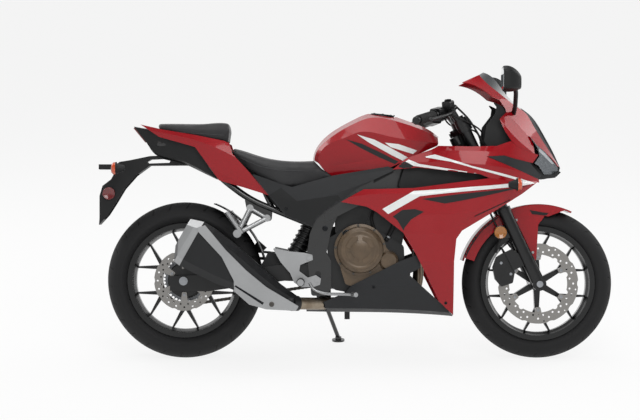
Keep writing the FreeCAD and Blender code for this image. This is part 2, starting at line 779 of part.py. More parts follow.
def muffler_ring(distance, half_height, half_width, rise, corner=0.55):
    """A rounded upright outline square to the silencer's axis."""
    along = (muffler_axis_high - muffler_axis_low).normalize()
    up = along.cross(Vector(0, 1, 0)).normalize()
    if up.z < 0:
        up = up * -1
    side = along.cross(up)
    centre = muffler_axis_low + along * distance + up * rise
    cut = corner * half_width
    points = []
    for a, b in (
        (-half_width, -half_height + cut), (-half_width + cut, -half_height), (half_width - cut, -half_height),
        (half_width, -half_height + cut), (half_width, half_height - cut), (half_width - cut, half_height),
        (-half_width + cut, half_height), (-half_width, half_height - cut),
    ):
        points.append(centre + side * a + up * b)
    return Part.makePolygon(points + points[:1])


def muffler():
    """The silencer's can, widening to the rear, with the collar that clamps it to the pipe."""
    rings = [muffler_ring(*section) for section in muffler_sections]
    body = Part.makeLoft(rings, True, True)
    end, before = Vector(*link_route[-1]), Vector(*link_route[-2])
    along = (end - before).normalize()
    collar = rod(end + along * fit_gap, end + along * 30, 30)
    can = fuse(body, collar, rod(end + along * 24, muffler_axis_low + Vector(-20, 0, 10), 30))
    return can.cut(rod(end - along * 80, end + along * fit_gap, 24 + fit_gap))


def muffler_cap():
    """The bright end piece with its outlet."""
    last = muffler_sections[-1]
    start = last[0] + fit_gap
    rings = [
        muffler_ring(start, 98, 54, 8),
        muffler_ring(start + 26, 92, 52, 6),
        muffler_ring(start + 52, 60, 46, 30),
    ]
    cap = Part.makeLoft(rings, True, True)
    along = (muffler_axis_high - muffler_axis_low).normalize()
    end = muffler_axis_low + along * (start + 60) + Vector(14, 0, 24)
    return cap.cut(rod(end, end - along * 40, 26))


def heat_shield():
    """The bright plate along the silencer's upper front edge."""
    outline = [
        (60, 524), (92, 534), (172, 438), (252, 358), (332, 292), (457, 218), (446, 200), (330, 206), (264, 225),
        (206, 276), (204, 318), (157, 410), (66, 508),
    ]
    plate = side_prism(outline, -255, -238, 4)
    return seated(seated(plate, muffler(), (0, -1, 0)), muffler_cap(), (0, -1, 0))


# Frame

def head_tube_ends():
    low = fork_frame.multVec(Vector(-fork_offset, 0, lower_yoke_s + yoke_thickness + head_gap))
    high = fork_frame.multVec(Vector(-fork_offset, 0, upper_yoke_s - head_gap))
    return low, high


def head_tube():
    low, high = head_tube_ends()
    return rod(low, high, head_tube_radius), rod(low, high, stem_radius + pin_clearance)


def frame():
    """Head tube, twin spars, pivot plates, cross tubes, the engine's hangers and the side stand's bracket."""
    tube, bore = head_tube()
    low, high = head_tube_ends()
    head = (low + high) / 2
    spar = box_loft(
        [
            (head.x - 14, 18, head.z - 12, 30, 104), (1046, 66, head.z - 30, 28, 88), (900, 116, 742, 28, 76),
            (720, 136, 660, 28, 72), (560, plate_y, 588, 26, 90),
        ]
    )
    plate = side_prism(
        [(500, 500), (560, 636), (622, 600), (584, 512), (566, 424), (584, 392), (584, 282), (562, 254), (506, 254), (488, 420)],
        plate_y - plate_thickness / 2, plate_y + plate_thickness / 2, 10,
    )
    front_hanger = side_prism([(830, 720), (900, 700), (892, 604), (856, 560), (836, 600)], head_half + fit_gap, hanger_y, 8)
    cross = [
        rod((566, -plate_y, 566), (566, plate_y, 566), 20),
        rod((534, -plate_y, 260), (534, plate_y, 260), 10),
        rod((900, -118, 746), (900, 118, 746), 13),
    ]
    cross += both_sides(seated(rod((900, 70, 746), (900, 70, 860), 10), fuel_tank(), (0, 0, -1)))
    cross += both_sides(seated(rod((862, 120, 598), (862, 300, 598), 8), fairing_side(), (0, -1, 0)))
    cross += both_sides(seated(rod((690, 138, 668), (690, 190, 668), 8), side_cover(), (0, -1, 0)))
    axle_hole = rod((pivot_x, -160, pivot_z), (pivot_x, 160, pivot_z), 12)
    bracket = side_prism([(520, 276), (584, 276), (586, 204), (532, 204)], 108, stand_pivot[1] - 20, 6)
    pieces = both_sides(spar) + both_sides(plate) + both_sides(front_hanger) + cross + [tube, bracket]
    return fuse(pieces).cut([bore, axle_hole])


def rails(extra):
    """The seat rails, lower rails and rear tie, drawn thicker by extra."""
    upper = pipe([(640, 84, 648), (520, 83, 652), (345, 80, 684), (190, 74, 752), (-60, 56, 852), (-108, 54, 858)], 12 + extra)
    lower = pipe([(540, 106, 520), (258, 104, 634), (150, 92, 716), (96, 74, 776)], 12 + extra)
    tie = rod((-40, -60, 845), (-40, 60, 845), 9 + extra)
    return both_sides(upper) + both_sides(lower) + [tie]


def subframe():
    """Seat rails and lower rails with their ties, pads under the seat and tank, and tabs for the pillion's footrests."""
    brace = rod((300, 79, 704), (352, 104, 594), 9)
    foot = rod((546, engine_half, 528), (546, 92, 528), 15)
    tab = side_prism([(240, 640), (250, 592), (330, 548), (344, 560), (348, 604)], 99, 110, 6)
    ties = [rod((300, -80, 703), (300, 80, 703), 9), rod((636, -120, 648), (636, 120, 648), 14)]
    pads = [
        seated(rod((300, 50, 703), (300, 50, 800), 12), rider_seat(), (0, 0, -1)),
        seated(rod((636, 60, 648), (636, 60, 800), 9), fuel_tank(), (0, 0, -1)),
        seated(rod((450, 82, 660), (450, 200, 660), 8), side_cover(), (0, -1, 0)),
        seated(rod((200, 76, 748), (200, 200, 748), 8), tail_side(), (0, -1, 0)),
    ]
    pieces = both_sides(brace) + both_sides(foot) + both_sides(tab)
    for pad in pads:
        pieces += both_sides(pad)
    return fuse(rails(0) + ties + pieces)


def arm_line(x):
    """Height of the arms' middle line between the axle's plate and the brace."""
    rear, front = rear_tyre_radius - 8, pivot_z + 6
    return rear + (front - rear) * (x - 96) / 304


def swingarm():
    """Two tapering arms joined by the pivot tube and a brace that passes inside the chain's loop."""
    middle = arm_inner_y + arm_width / 2
    arm = box_loft(
        [
            (-54, middle, rear_tyre_radius - 10, arm_width, 58), (96, middle, arm_line(96), arm_width, 66),
            (400, middle, arm_line(400), arm_width, 66), (478, middle - 3, pivot_z + 4, arm_width - 6, 70),
            (556, middle - 3, pivot_z + 2, arm_width - 6, 72),
        ]
    )
    tube = rod((pivot_x, -116, pivot_z), (pivot_x, 116, pivot_z), 28)
    brace = block(396, 446, -106, 106, pivot_z - 16, pivot_z + 28)
    bores = [
        rod((pivot_x, -150, pivot_z), (pivot_x, 150, pivot_z), 12),
        rod((0, -150, rear_tyre_radius), (0, 150, rear_tyre_radius), axle_radius),
    ]
    return [fuse(both_sides(arm) + [tube, brace]).cut(bores)]


def pivot_bolt():
    """The swingarm's bolt, flush with the frame's plates."""
    outer = plate_y + plate_thickness / 2
    return rod((pivot_x, -outer, pivot_z), (pivot_x, outer, pivot_z), 12)


def rear_axle_pin():
    z = rear_tyre_radius
    outer = arm_inner_y + arm_width
    pieces = [rod((0, -outer - 16, z), (0, outer + 16, z), axle_radius)]
    pieces += both_sides(rod((0, outer + fit_gap, z), (0, outer + 12, z), 17))
    pieces += both_sides(rod((0, rear_hub_half + 1, z), (0, arm_inner_y - fit_gap, z), 15))
    return fuse(pieces)


def rear_shock():
    """Single damper and spring between the swingarm's brace and the frame's cross tube."""
    low, high = Vector(424, 0, 385.3), Vector(531.6, 0, 577.8)
    along = (high - low).normalize()
    body = rod(low, low + along * 110, 24)
    spring = rod(low + along * 30, high - along * 34, 33)
    stem = rod(low, high, 13)
    eyes = [rod((low.x, -22, low.z), (low.x, 22, low.z), 17), rod((high.x, -22, high.z), (high.x, 22, high.z), 16)]
    return fuse([body, spring, stem] + eyes)


def rear_caliper():
    """The caliper above the arm, on a plate that hangs on the axle."""
    plate_face = arm_inner_y - fit_gap
    body = side_prism([(30, 80), (44, 128), (84, 122), (122, 84), (108, 44), (74, 40)], -plate_face, -58, 8)
    plate = side_prism([(-22, -22), (26, -26), (60, 28), (90, 50), (70, 88), (34, 86), (-22, 26)], -plate_face, -92, 8)
    for piece in (body, plate):
        piece.translate(rear_axle)
    slot = rod((0, rear_disc_y - 4, rear_tyre_radius), (0, rear_disc_y + 4, rear_tyre_radius), rear_disc_radius + 5)
    ring_hole = rod((0, -120, rear_tyre_radius), (0, -60, rear_tyre_radius), 15 + fit_gap)
    return fuse(body, plate).cut([slot, ring_hole])


def chain_guard():
    """The hugger over the tyre's front, on feet that stand on the arms, and the guard over the chain's upper run."""
    half = 92
    inner = rear_tyre_radius + 14
    hoop = turned([(inner, -half), (inner + 4, 6 - half), (inner + 4, half - 6), (inner, half)], (0, 0, rear_tyre_radius))
    sector = side_prism([(0, 0), (420, 60), (420, 188), (330, 328), (150, 388)], -120, 120)
    sector.translate(rear_axle)

    def over_chain(points):
        return [(x, upper_run(x) + rise) for x, rise in points]

    guard = side_prism(over_chain([(20, 31), (90, 42), (430, 26), (430, 18), (90, 30), (20, 21)]), 86, 112, 3)
    web = side_prism(over_chain([(250, 25), (300, 21), (324, 45), (290, 73)]), 86, 91)
    soles = [(x, arm_line(x) + 33 + fit_gap) for x in (300, 400)]
    left_foot = side_prism(soles + over_chain([(404, 21), (330, 31), (318, 5)]), 104, 122)
    right_foot = side_prism(soles + over_chain([(404, 14), (340, 36)]), -122, -80)
    chain_room = side_prism(over_chain([(200, -43), (440, -28), (440, 27), (200, 11)]), 80, 120)
    return fuse([hoop.common(sector).cut(chain_room), guard, web, left_foot, right_foot])


# Fuel tank, seats and tail

tank_lines = [
    [(512, 0, 790), (516, 0, 822), (534, 0, 854), (566, 0, 889), (612, 0, 922), (673, 0, 955), (741, 0, 981), (827, 0, 972), (919, 0, 941), (981, 0, 913), (1016, 0, 886)],
    [(518, 62, 790), (524, 74, 824), (548, 84, 852), (586, 91, 884), (640, 95, 918), (700, 98, 947), (745, 99, 960), (827, 98, 950), (905, 92, 927), (965, 80, 904), (1010, 62, 880)],
    [(534, 86, 780), (540, 98, 812), (556, 108, 842), (600, 124, 866), (660, 138, 887), (715, 149, 904), (752, 155, 898), (830, 160, 880), (905, 152, 868), (960, 134, 862), (1010, 100, 858)],
    [(556, 84, 752), (580, 88, 762), (610, 94, 772), (650, 101, 778), (700, 112, 786), (750, 124, 794), (790, 134, 800), (850, 146, 812), (912, 146, 828), (960, 132, 842), (1008, 100, 852)],
    [(589, 84, 728), (612, 88, 731), (640, 94, 735), (676, 102, 740), (720, 114, 746), (765, 126, 753), (816, 140, 761), (860, 148, 781), (915, 146, 806), (960, 130, 828), (1006, 100, 848)],
]


def fuel_tank():
    """The tank with its steel floor, the filler neck's bore and the recess that the cap closes."""
    body = symmetric_body(tank_lines, 11)
    neck_top = Vector(cap_x, 0, 1010)
    neck = rod((cap_x, 0, 984 - neck_depth), neck_top, neck_radius)
    seat = rod(cap_seat(), cap_seat() + cap_normal() * 60, cap_radius + 1)
    return body.cut([neck, seat])


def cap_normal():
    """Square to the tank's crown beneath the cap."""
    return Vector(11, 0, 100).normalize()


def cap_seat():
    return Vector(cap_x, 0, 967)


def fuel_cap():
    """The hinged lid with its plug; it lies proud of its recess."""
    base, up = cap_seat() + cap_normal() * 0.6, cap_normal()
    plate = rod(base, base + up * 9, cap_radius - 6)
    behind = up.cross(Y_AXIS) * 2
    flange = rod(base + behind, base + behind + up * 6, cap_radius - 3)
    plug = rod(base - up * 10, base, neck_radius - 6)
    tab = rod(base + up * 9, base + up * 10.5, 20)
    knuckle = rod(cap_hinge() - Y_AXIS * 14, cap_hinge() + Y_AXIS * 14, 2.8)
    return fuse(plate, flange, plug, tab, knuckle)


def cap_hinge():
    """Where the lid's hinge lies, at the recess's front edge and level with the lid's top."""
    ahead = Y_AXIS.cross(cap_normal())
    return cap_seat() + cap_normal() * 9.6 + ahead * (cap_radius - 5)


rider_seat_lines = [
    [(190, 0, 838), (246, 0, 824), (307, 0, 804), (380, 0, 790), (459, 0, 786), (508, 0, 788)],
    [(196, 78, 832), (250, 92, 815), (307, 102, 797), (380, 100, 784), (459, 82, 780), (512, 70, 781)],
    [(200, 98, 818), (256, 118, 796), (312, 130, 774), (384, 128, 760), (470, 104, 758), (540, 86, 752)],
    [(214, 92, 786), (280, 112, 742), (345, 124, 706), (400, 124, 688), (470, 106, 692), (584, 84, 724)],
]

pillion_seat_lines = [
    [(-106, 0, 936), (-40, 0, 937), (30, 0, 936), (100, 0, 938), (144, 0, 941), (170, 0, 938)],
    [(-104, 50, 930), (-40, 76, 930), (30, 90, 928), (100, 94, 932), (144, 90, 935), (174, 82, 932)],
    [(-100, 58, 918), (-36, 88, 912), (34, 104, 908), (100, 108, 910), (146, 104, 912), (178, 94, 908)],
    [(-84, 52, 908), (-20, 80, 897), (50, 96, 886), (105, 100, 876), (146, 96, 869), (172, 86, 864)],
]


def rider_seat():
    return symmetric_body(rider_seat_lines, 7)


def pillion_seat():
    return symmetric_body(pillion_seat_lines, 7)


tail_lines = [
    [(-220, 58, 985), (-60, 82, 965), (100, 98, 925), (240, 118, 875), (390, 132, 800)],
    [(-220, 64, 925), (-60, 92, 895), (100, 120, 852), (240, 134, 782), (390, 142, 705)],
    [(-220, 56, 860), (-60, 82, 822), (100, 110, 762), (240, 128, 692), (390, 138, 622)],
    [(-220, 46, 800), (-60, 70, 745), (100, 98, 682), (240, 118, 612), (390, 130, 550)],
]
tail_outline = [
    (-176, 934), (-84, 913), (60, 888), (160, 867), (180, 858), (193, 816), (252, 752), (341, 650), (232, 684),
    (140, 710), (44, 843), (-100, 884),
]


def tail_side():
    return cut_to(skin(tail_lines, panel_thickness), tail_outline)


def tail_cowl():
    return both_sides(tail_side())


def tail_undertray():
    """The dark cowl under the tail that holds the pillion's seat, the lamp and the plate's stay."""
    top = [(-204, 0, 928), (-130, 0, 918), (-20, 0, 910), (100, 0, 894), (200, 0, 812)]
    edge = [(-204, 50, 926), (-130, 60, 912), (-20, 80, 900), (100, 88, 878), (200, 90, 796)]
    low = [(-150, 46, 858), (-110, 58, 816), (-20, 74, 792), (60, 84, 756), (130, 88, 716)]
    base = [(-146, 30, 850), (-106, 34, 806), (-20, 40, 782), (60, 44, 748), (126, 46, 716)]
    body = symmetric_body([top, edge, low, base], 5)
    seats = [pillion_seat(), rider_seat()]
    for seat in seats:
        seat.translate(Vector(0, 0, -fit_gap))
    lamp_room = side_prism([(-197.9, 924.5), (-149.5, 868), (-170, 846), (-230, 906)], -46 - fit_gap, 46 + fit_gap)
    lug = seated(rod((-60, 40, 888), (-60, 200, 888), 7), tail_side(), (0, -1, 0))
    return fuse([body] + both_sides(lug)).cut(seats + [lamp_room] + rails(fit_gap))


def tail_lamp():
    return side_prism([(-206, 920), (-198, 924), (-150, 868), (-158, 862)], -46, 46, 2)


def rear_fender():
    """The slotted arm under the tail and its fin, which carry the plate, the signals and two side reflectors."""
    arm = side_prism(
        [
            (-60, 812), (-141, 809), (-218, 793), (-262, 786), (-278, 772), (-280, 745), (-296, 716), (-330, 690),
            (-342, 650), (-342, 560), (-344, 534), (-309, 572), (-280, 617), (-244, 677), (-197, 730), (-141, 771),
            (-20, 772), (20, 772), (20, 800),
        ],
        -44, 44,
    )
    slot = side_prism([(-155, 787), (-138, 796), (-91, 798), (-58, 790), (-62, 782), (-148, 779)], -60, 60, 2)
    hollow = side_prism(
        [
            (-334, 562), (-334, 640), (-324, 682), (-288, 710), (-266, 738), (-190, 742), (-150, 700), (-230, 620),
            (-300, 540),
        ],
        -40, 40,
    )
    lamp = block(-346, -268, -36, 36, 756, 776)
    pads = both_sides(rod((-304, 40, 659), (-304, 50, 659), 24))
    pod = signal_pod(signal_x, signal_y, signal_z, -1)
    stalk = seated(rod((signal_x - 4, 30, signal_z), (signal_x - 4, signal_y, signal_z), 7), pod, (0, -1, 0))
    plate_holes = both_sides(rod((-360, plate_hole_y, plate_hole_z), (-320, plate_hole_y, plate_hole_z), plate_hole_radius))
    arm = seated(arm, tail_undertray(), (0, 0, -1))
    return fuse([arm.cut([hollow, slot]), lamp] + pads + both_sides(stalk)).cut(plate_holes)


def signal_pod(x, y, z, ahead):
    """A tapered housing that opens to its round lens, which faces ahead or to the rear."""
    facing = Vector(ahead, 0, 0)
    start = Vector(x, y, z) - facing * 26
    housing = Part.makeCone(11, 24, 40, start, facing)
    lens = Part.makeCone(23, 17, 12, start + facing * 40, facing)
    return fuse(housing, lens)


def rear_signals():
    return both_sides(signal_pod(signal_x, signal_y, signal_z, -1))


side_cover_outline = [
    (268, 738), (392, 694), (430, 684), (589, 729), (808, 765), (838, 752), (690, 683), (630, 636), (560, 588),
    (524, 556), (512, 526), (404, 570), (340, 648),
]
side_cover_lines = [
    [(260, 138, 760), (400, 141, 740), (540, 141, 740), (680, 152, 780), (860, 160, 790)],
    [(280, 140, 715), (400, 144, 680), (540, 148, 700), (690, 156, 732), (860, 164, 752)],
    [(320, 142, 650), (420, 148, 630), (540, 156, 640), (690, 162, 690), (860, 168, 730)],
    [(340, 140, 560), (430, 146, 540), (540, 152, 520), (690, 158, 560), (860, 166, 640)],
]


def side_cover():
    return cut_to(skin(side_cover_lines, panel_thickness), side_cover_outline, 3)


def side_covers():
    return both_sides(side_cover())


# Fairing

fairing_lines = [
    [(590, 168, 650), (711, 188, 700), (906, 206, 706), (1095, 204, 728), (1216, 196, 727), (1320, 158, 720), (1432, 58, 714)],
    [(590, 184, 618), (711, 206, 652), (906, 232, 658), (1095, 232, 676), (1216, 212, 692), (1320, 172, 696), (1432, 66, 694)],
    [(640, 190, 560), (780, 214, 566), (906, 234, 572), (1040, 238, 578), (1150, 220, 588), (1250, 184, 612), (1360, 120, 650)],
    [(760, 190, 500), (850, 214, 500), (930, 230, 500), (1010, 230, 500), (1070, 220, 502), (1110, 208, 506), (1160, 188, 512)],
    [(850, 178, 392), (920, 198, 390), (970, 208, 388), (1010, 208, 386), (1045, 204, 385), (1075, 196, 384), (1110, 184, 384)],
    [(920, 152, 290), (970, 166, 290), (1000, 170, 288), (1030, 172, 286), (1055, 170, 284), (1080, 164, 284), (1110, 152, 284)],
    [(980, 118, 160), (1005, 122, 160), (1025, 124, 160), (1045, 124, 160), (1062, 122, 160), (1080, 118, 160), (1100, 112, 160)],
]
fairing_outline = [
    (622, 625), (711, 674), (906, 679), (1095, 704), (1216, 719), (1410, 709), (1342, 659), (1210, 579), (1096, 512),
    (1074, 480), (1066, 390), (1067, 177), (1010, 232), (962, 330), (917, 418), (866, 504), (762, 585), (722, 606),
]


def fairing_side():
    return cut_to(skin(fairing_lines, panel_thickness), fairing_outline)


upper_lines = [
    [(800, 140, 870), (900, 150, 880), (1010, 156, 866), (1120, 164, 862), (1220, 166, 866), (1300, 158, 866), (1420, 92, 850)],
    [(800, 158, 800), (900, 170, 812), (1010, 182, 826), (1120, 192, 826), (1220, 190, 822), (1310, 162, 806), (1420, 98, 788)],
    [(800, 172, 762), (900, 192, 778), (1010, 206, 782), (1120, 210, 776), (1220, 204, 766), (1320, 168, 746), (1432, 68, 728)],
    [(800, 168, 720), (900, 186, 726), (1010, 200, 728), (1120, 204, 720), (1220, 199, 706), (1320, 163, 698), (1432, 60, 690)],
]
upper_outline = [
    (826, 752), (880, 797), (982, 832), (1006, 846), (1127, 843), (1236, 845), (1289, 864), (1295.8, 863.4), (1321.8, 843.4),
    (1367.8, 822.4), (1407, 811.5), (1382, 779), (1308, 795), (1263, 808), (1193, 803), (1308, 756), (1410, 714), (1412, 702), (1216, 714),
    (1166, 734), (924, 760),
]


def fairing_upper():
    return cut_to(skin(upper_lines, panel_thickness), upper_outline)


nose_panel_outline = [
    (1199, 802.7), (1263, 807.5), (1308, 794.5), (1370, 781), (1385, 764), (1420, 729), (1412, 714.3), (1308.3, 756.6),
]

cowl_side_lines = [
    [(1105, 104, 1100), (1218, 124, 1046), (1275, 124, 985), (1339, 114, 915), (1366, 104, 887), (1384, 97, 869)],
    [(1080, 128, 1070), (1190, 148, 1000), (1250, 158, 950), (1300, 156, 890), (1345, 139, 850), (1392, 112, 815)],
    [(1080, 150, 1000), (1180, 162, 930), (1240, 166, 885), (1295, 163, 855), (1340, 143, 815), (1384, 116, 776)],
]
cowl_top_lines = [
    [
        (1174, 66, 1132), (1206, 70, 1098), (1280, 74, 1038), (1316, 66, 1010), (1355, 54, 986), (1390, 40, 937),
        (1422, 32, 885), (1459, 26, 829), (1499, 16, 768),
    ],
    [
        (1105, 104, 1100), (1218, 124, 1046), (1275, 124, 985), (1339, 114, 915), (1366, 104, 887), (1402, 90, 852),
        (1439, 70, 823), (1466, 54, 800), (1493, 30, 768),
    ],
]
screen_lines = [
    [
        (1196, 0, 1146), (1231, 0, 1128), (1268, 0, 1084), (1325, 0, 1019), (1360, 0, 994), (1392, 0, 967),
        (1429, 0, 912), (1475, 0, 829), (1506, 0, 760),
    ],
    [
        (1174, 64, 1132), (1206, 68, 1098), (1280, 72, 1038), (1316, 64, 1010), (1355, 52, 986), (1390, 38, 937),
        (1422, 30, 885), (1459, 24, 829), (1499, 14, 768),
    ],
]
cowl_edge = [
    (1270, 901), (1261, 920), (1248, 952), (1277, 979), (1275, 993), (1252, 1029), (1225, 1038), (1197, 1050),
    (1152, 1075), (1129, 1077), (1084, 1090),
]
cowl_side_outline = cowl_edge + [
    (1100, 1140), (1300, 1060), (1366, 889), (1400, 838), (1409, 812), (1368, 823), (1322, 844), (1296, 864),
]
cowl_top_outline = cowl_edge + [(1100, 1150), (1300, 1100), (1540, 800), (1520, 740), (1460, 740), (1300, 870)]


def cowl_side():
    """The left half of the nose: side facets and the strip that runs on over the lamp to the nose's tip."""
    side = cut_to(skin(cowl_side_lines, panel_thickness, (1, 1, 1), 7), cowl_side_outline)
    top = cut_to(skin(cowl_top_lines, panel_thickness, (1, 1, 1), 11), cowl_top_outline)
    return fuse(side, top)


def front_cowl():
    return both_sides(cowl_side())


def screen_half():
    """The left half of the band that runs down the nose's middle; the screen is its upper part."""
    return skin(screen_lines, 3.0, (1, 0, 1), 11)


def nose_panels():
    return both_sides(cut_to(skin(upper_lines, panel_thickness), nose_panel_outline))


def windscreen():
    """The smoke-grey screen between the cowl's two sides."""
    half = cut_to(screen_half(), [(1100, 1200), (1345, 1200), (1345, 900), (1100, 900)], 0, -5)
    return fuse(half, mirrored(half))


def headlamp():
    """A lens whose top follows the cowl's strip and whose side runs back along the cowl."""
    outline = [
        (1370, 887), (1402, 850), (1439, 823), (1466, 800), (1490, 769), (1493, 751), (1466, 735), (1433, 735),
        (1408, 769), (1391, 778), (1413, 808), (1405, 838),
    ]
    plan = [(1340, 12), (1502, 12), (1496, 24), (1392, 108), (1372, 108), (1340, 108)]
    column = Part.Face(Part.makePolygon([Vector(x, y, 700) for x, y in plan + plan[:1]])).extrude(Vector(0, 0, 220))
    return seated(side_prism(outline, 12, 120).common(column), cowl_side(), (0, 0, -1))


def headlamps():
    return both_sides(headlamp())


def lamp_surround():
    """The dark shell behind and below the headlamps with the keel between them and the band above it."""
    shell = side_prism(
        [
            (1300, 742), (1372, 728), (1418, 716), (1480, 722), (1474, 733.5), (1432, 733.5), (1406, 767), (1388, 776),
            (1368, 812), (1366, 850), (1352, 886), (1312, 886), (1322, 850),
        ],
        -68, 68,
    )
    lip = side_prism([(1428, 733.5), (1467, 733.5), (1494, 748.5), (1503, 744), (1485, 726), (1436, 716), (1418, 716)], -50, 50)
    keel = side_prism(
        [
            (1357, 990), (1390, 965), (1427, 911), (1473, 828), (1503, 761), (1500, 745), (1466, 730), (1432, 730),
            (1366, 790), (1340, 884), (1350, 986),
        ],
        -10, 10,
    )
    band = cut_to(screen_half(), [(1347, 1200), (1560, 1200), (1560, 700), (1347, 700)], 0, -5)
    bar = rod((cowl_bar_x, -100, cowl_bar_z), (cowl_bar_x, 100, cowl_bar_z), 11 + fit_gap)
    return fuse(shell, lip, keel, band, mirrored(band)).cut(bar)


def dash():
    """The instrument housing on the stay's bar, with the dark liners inside the cowl's opening."""
    housing = side_prism([(1221, 912), (1290, 890), (1326, 890), (1316, 940), (1292, 990), (1264, 1008), (1226, 950)], -70, 70, 6)
    liner = side_prism(
        [
            (1190, 866), (1204, 846), (1286, 842), (1322, 848), (1322, 900), (1290, 960), (1262, 1004), (1222, 1024), (1239, 1002),
            (1235, 975), (1200, 929),
        ],
        113, 116, 3,
    )
    wings = side_prism([(1240, 930), (1300, 944), (1298, 950), (1238, 936)], -116, 116)
    bar = rod((cowl_bar_x, -200, cowl_bar_z), (cowl_bar_x, 200, cowl_bar_z), 11 + fit_gap)
    return fuse([housing, wings] + both_sides(liner)).cut(bar)


def cowl_stay():
    """The stay from the head tube whose bar holds the cowl, the lamps and the dash."""
    low, high = head_tube_ends()
    head = (low + high) / 2
    bar = Vector(cowl_bar_x - 6, 0, cowl_bar_z)
    spine = pipe([head + Vector(-18, 0, -12), head + Vector(58, 0, 12), bar - Vector(0, 0, 35), bar], 8)
    spine = seated(spine, rod(low, high, head_tube_radius), (1, 0, 0))
    half_bar = seated(rod((cowl_bar_x, 10, cowl_bar_z), (cowl_bar_x, 220, cowl_bar_z), 9), cowl_side(), (0, -1, 0))
    middle = rod((cowl_bar_x, -16, cowl_bar_z), (cowl_bar_x, 16, cowl_bar_z), 11)
    return fuse([spine, middle] + both_sides(half_bar))


def inner_panels():
    """Dark panels behind the slot between the upper and lower fairing, and the studs that hold both."""
    outline = [(850, 690), (880, 786), (1000, 800), (1236, 752), (1226, 690), (1010, 640), (880, 640)]
    panel = side_prism(outline, inner_panel_y, inner_panel_y + panel_thickness, 10)
    studs = [
        seated(rod((1022, 162, 672), (1022, 300, 672), 8), fairing_side(), (0, -1, 0)),
        seated(rod((1000, 162, 780), (1000, 300, 780), 8), fairing_upper(), (0, -1, 0)),
    ]
    return both_sides(fuse([panel] + studs))


def mirror():
    """A bent stem on the cowl and its head, whose glass faces the rider."""
    stem = pipe([(1308, 84, 968), (1312, 130, 1000), (1306, 230, 1058), (1286, 292, 1088)], 9)
    stem = seated(stem, cowl_side(), (0.4, 0.7, 0.6))
    rings = []
    for x, shrink, drop in ((1246, 1.0, 0), (1266, 1.03, 1), (1294, 0.86, 6), (1316, 0.5, 15)):
        middle = Vector(x, 310, 1102 - drop)
        corners = [(-62, -34), (-66, 22), (-30, 42), (40, 46), (62, 30), (58, -40), (0, -50)]
        rings.append(rounded_wire([middle + Vector(0, y * shrink, z * shrink) for y, z in corners], 14))
    return fuse(stem, Part.makeLoft(rings, True, False))


def mirrors():
    return both_sides(mirror())


def front_signals():
    pod = signal_pod(1300, 258, 692, 1)
    stalk = rod((1290, 150, 692), (1290, 250, 692), 8)
    return both_sides(seated(fuse(pod, stalk), fairing_side(), (0, 1, 0)))


belly_lines = [
    [(470, 178, 440), (640, 183, 440), (800, 186, 440), (940, 186, 440), (1100, 160, 440)],
    [(470, 180, 380), (640, 185, 380), (800, 187, 378), (940, 184, 374), (1100, 152, 370)],
    [(470, 168, 300), (640, 175, 300), (800, 178, 296), (940, 172, 290), (1100, 138, 280)],
    [(470, 130, 206), (640, 138, 204), (800, 140, 202), (940, 134, 196), (1080, 104, 182)],
    [(470, 86, 190), (640, 90, 188), (800, 90, 186), (940, 80, 180), (1080, 56, 168)],
    [(470, 0, 188), (640, 0, 186), (800, 0, 184), (940, 0, 178), (1080, 0, 166)],
]
belly_outline = [
    (486, 160), (486, 210), (560, 232), (640, 268), (664, 296), (852, 391), (924, 418), (936, 366), (888, 341), (1020, 222),
    (1068, 176), (1068, 140),
]


def belly_pan():
    """The pan under the engine, with room for the silencer's pipe on the right and the stand on the left."""
    half = skin(belly_lines, panel_thickness, (0, 1, -1), 5).common(side_prism(belly_outline, 0, 300))
    left = half.cut(side_prism([(400, 100), (690, 100), (690, 236), (740, 400), (400, 400)], 60, 260))
    pipe_room = pipe([(810, -22, 222)] + link_route, 24 + 4)
    return fuse(largest(left), largest(mirrored(half).cut(pipe_room)))


# Footrests and controls

def rider_step():
    """A footrest bracket with its peg and heel guard, drawn on the left."""
    y = plate_y + plate_thickness / 2 + fit_gap
    plate = side_prism(
        [
            (352, 444), (417, 430), (480, 424), (510, 416), (512, 396), (486, 386), (462, 376), (458, 352), (492, 326),
            (524, 336), (544, 322), (540, 298), (516, 290), (468, 288), (438, 306), (422, 344), (384, 388),
        ],
        y, y + 9, 4,
    )
    peg = rod((464, y, 310), (464, y + 112, 310), 13)
    bolts = [rod((528, y, 319), (528, y + 15, 319), 10), rod((497, y, 405), (497, y + 15, 405), 10)]
    return fuse([plate, peg] + bolts)


def rider_steps():
    """Both footrests, the right one with the brake pedal and the left one with the gear lever."""
    y = plate_y + plate_thickness / 2 + 8
    brake = pipe([(498, -y, 306), (516, -y, 276), (560, -y - 8, 262), (640, -y - 34, 262), (676, -y - 60, 262)], 6)
    brake_pad = rod((668, -y - 56, 262), (680, -y - 92, 262), 9)
    shift = pipe([(498, y, 306), (516, y + 4, 280), (580, y + 14, 274), (640, y + 34, 274), (660, y + 50, 274)], 6)
    shift_pad = rod((656, y + 46, 274), (664, y + 88, 274), 10)
    step = rider_step()
    return [fuse(mirrored(step), brake, brake_pad), fuse(step, shift, shift_pad)]


def pillion_step():
    bars = [rod((263, 126, 601), (214, 150, 500), 9), rod((330, 126, 561), (214, 150, 500), 9), rod((263, 126, 601), (330, 126, 561), 8)]
    feet = [rod((263, 110 + fit_gap, 601), (263, 136, 601), 14), rod((330, 110 + fit_gap, 561), (330, 136, 561), 14)]
    peg = rod((232, 158, 500), (172, 164, 586), 11)
    knuckle = rod((214, 138, 500), (214, 172, 500), 16)
    return fuse(bars + feet + [peg, knuckle])


def stand_sole():
    """The centre of the foot's sole, on the ground that the leaning machine stands on."""
    sole_y = stand_pivot[1] + stand_reach
    return Vector(stand_pivot[0] + stand_advance, sole_y, sole_y * math.tan(lean) - ground_lift / math.cos(lean))


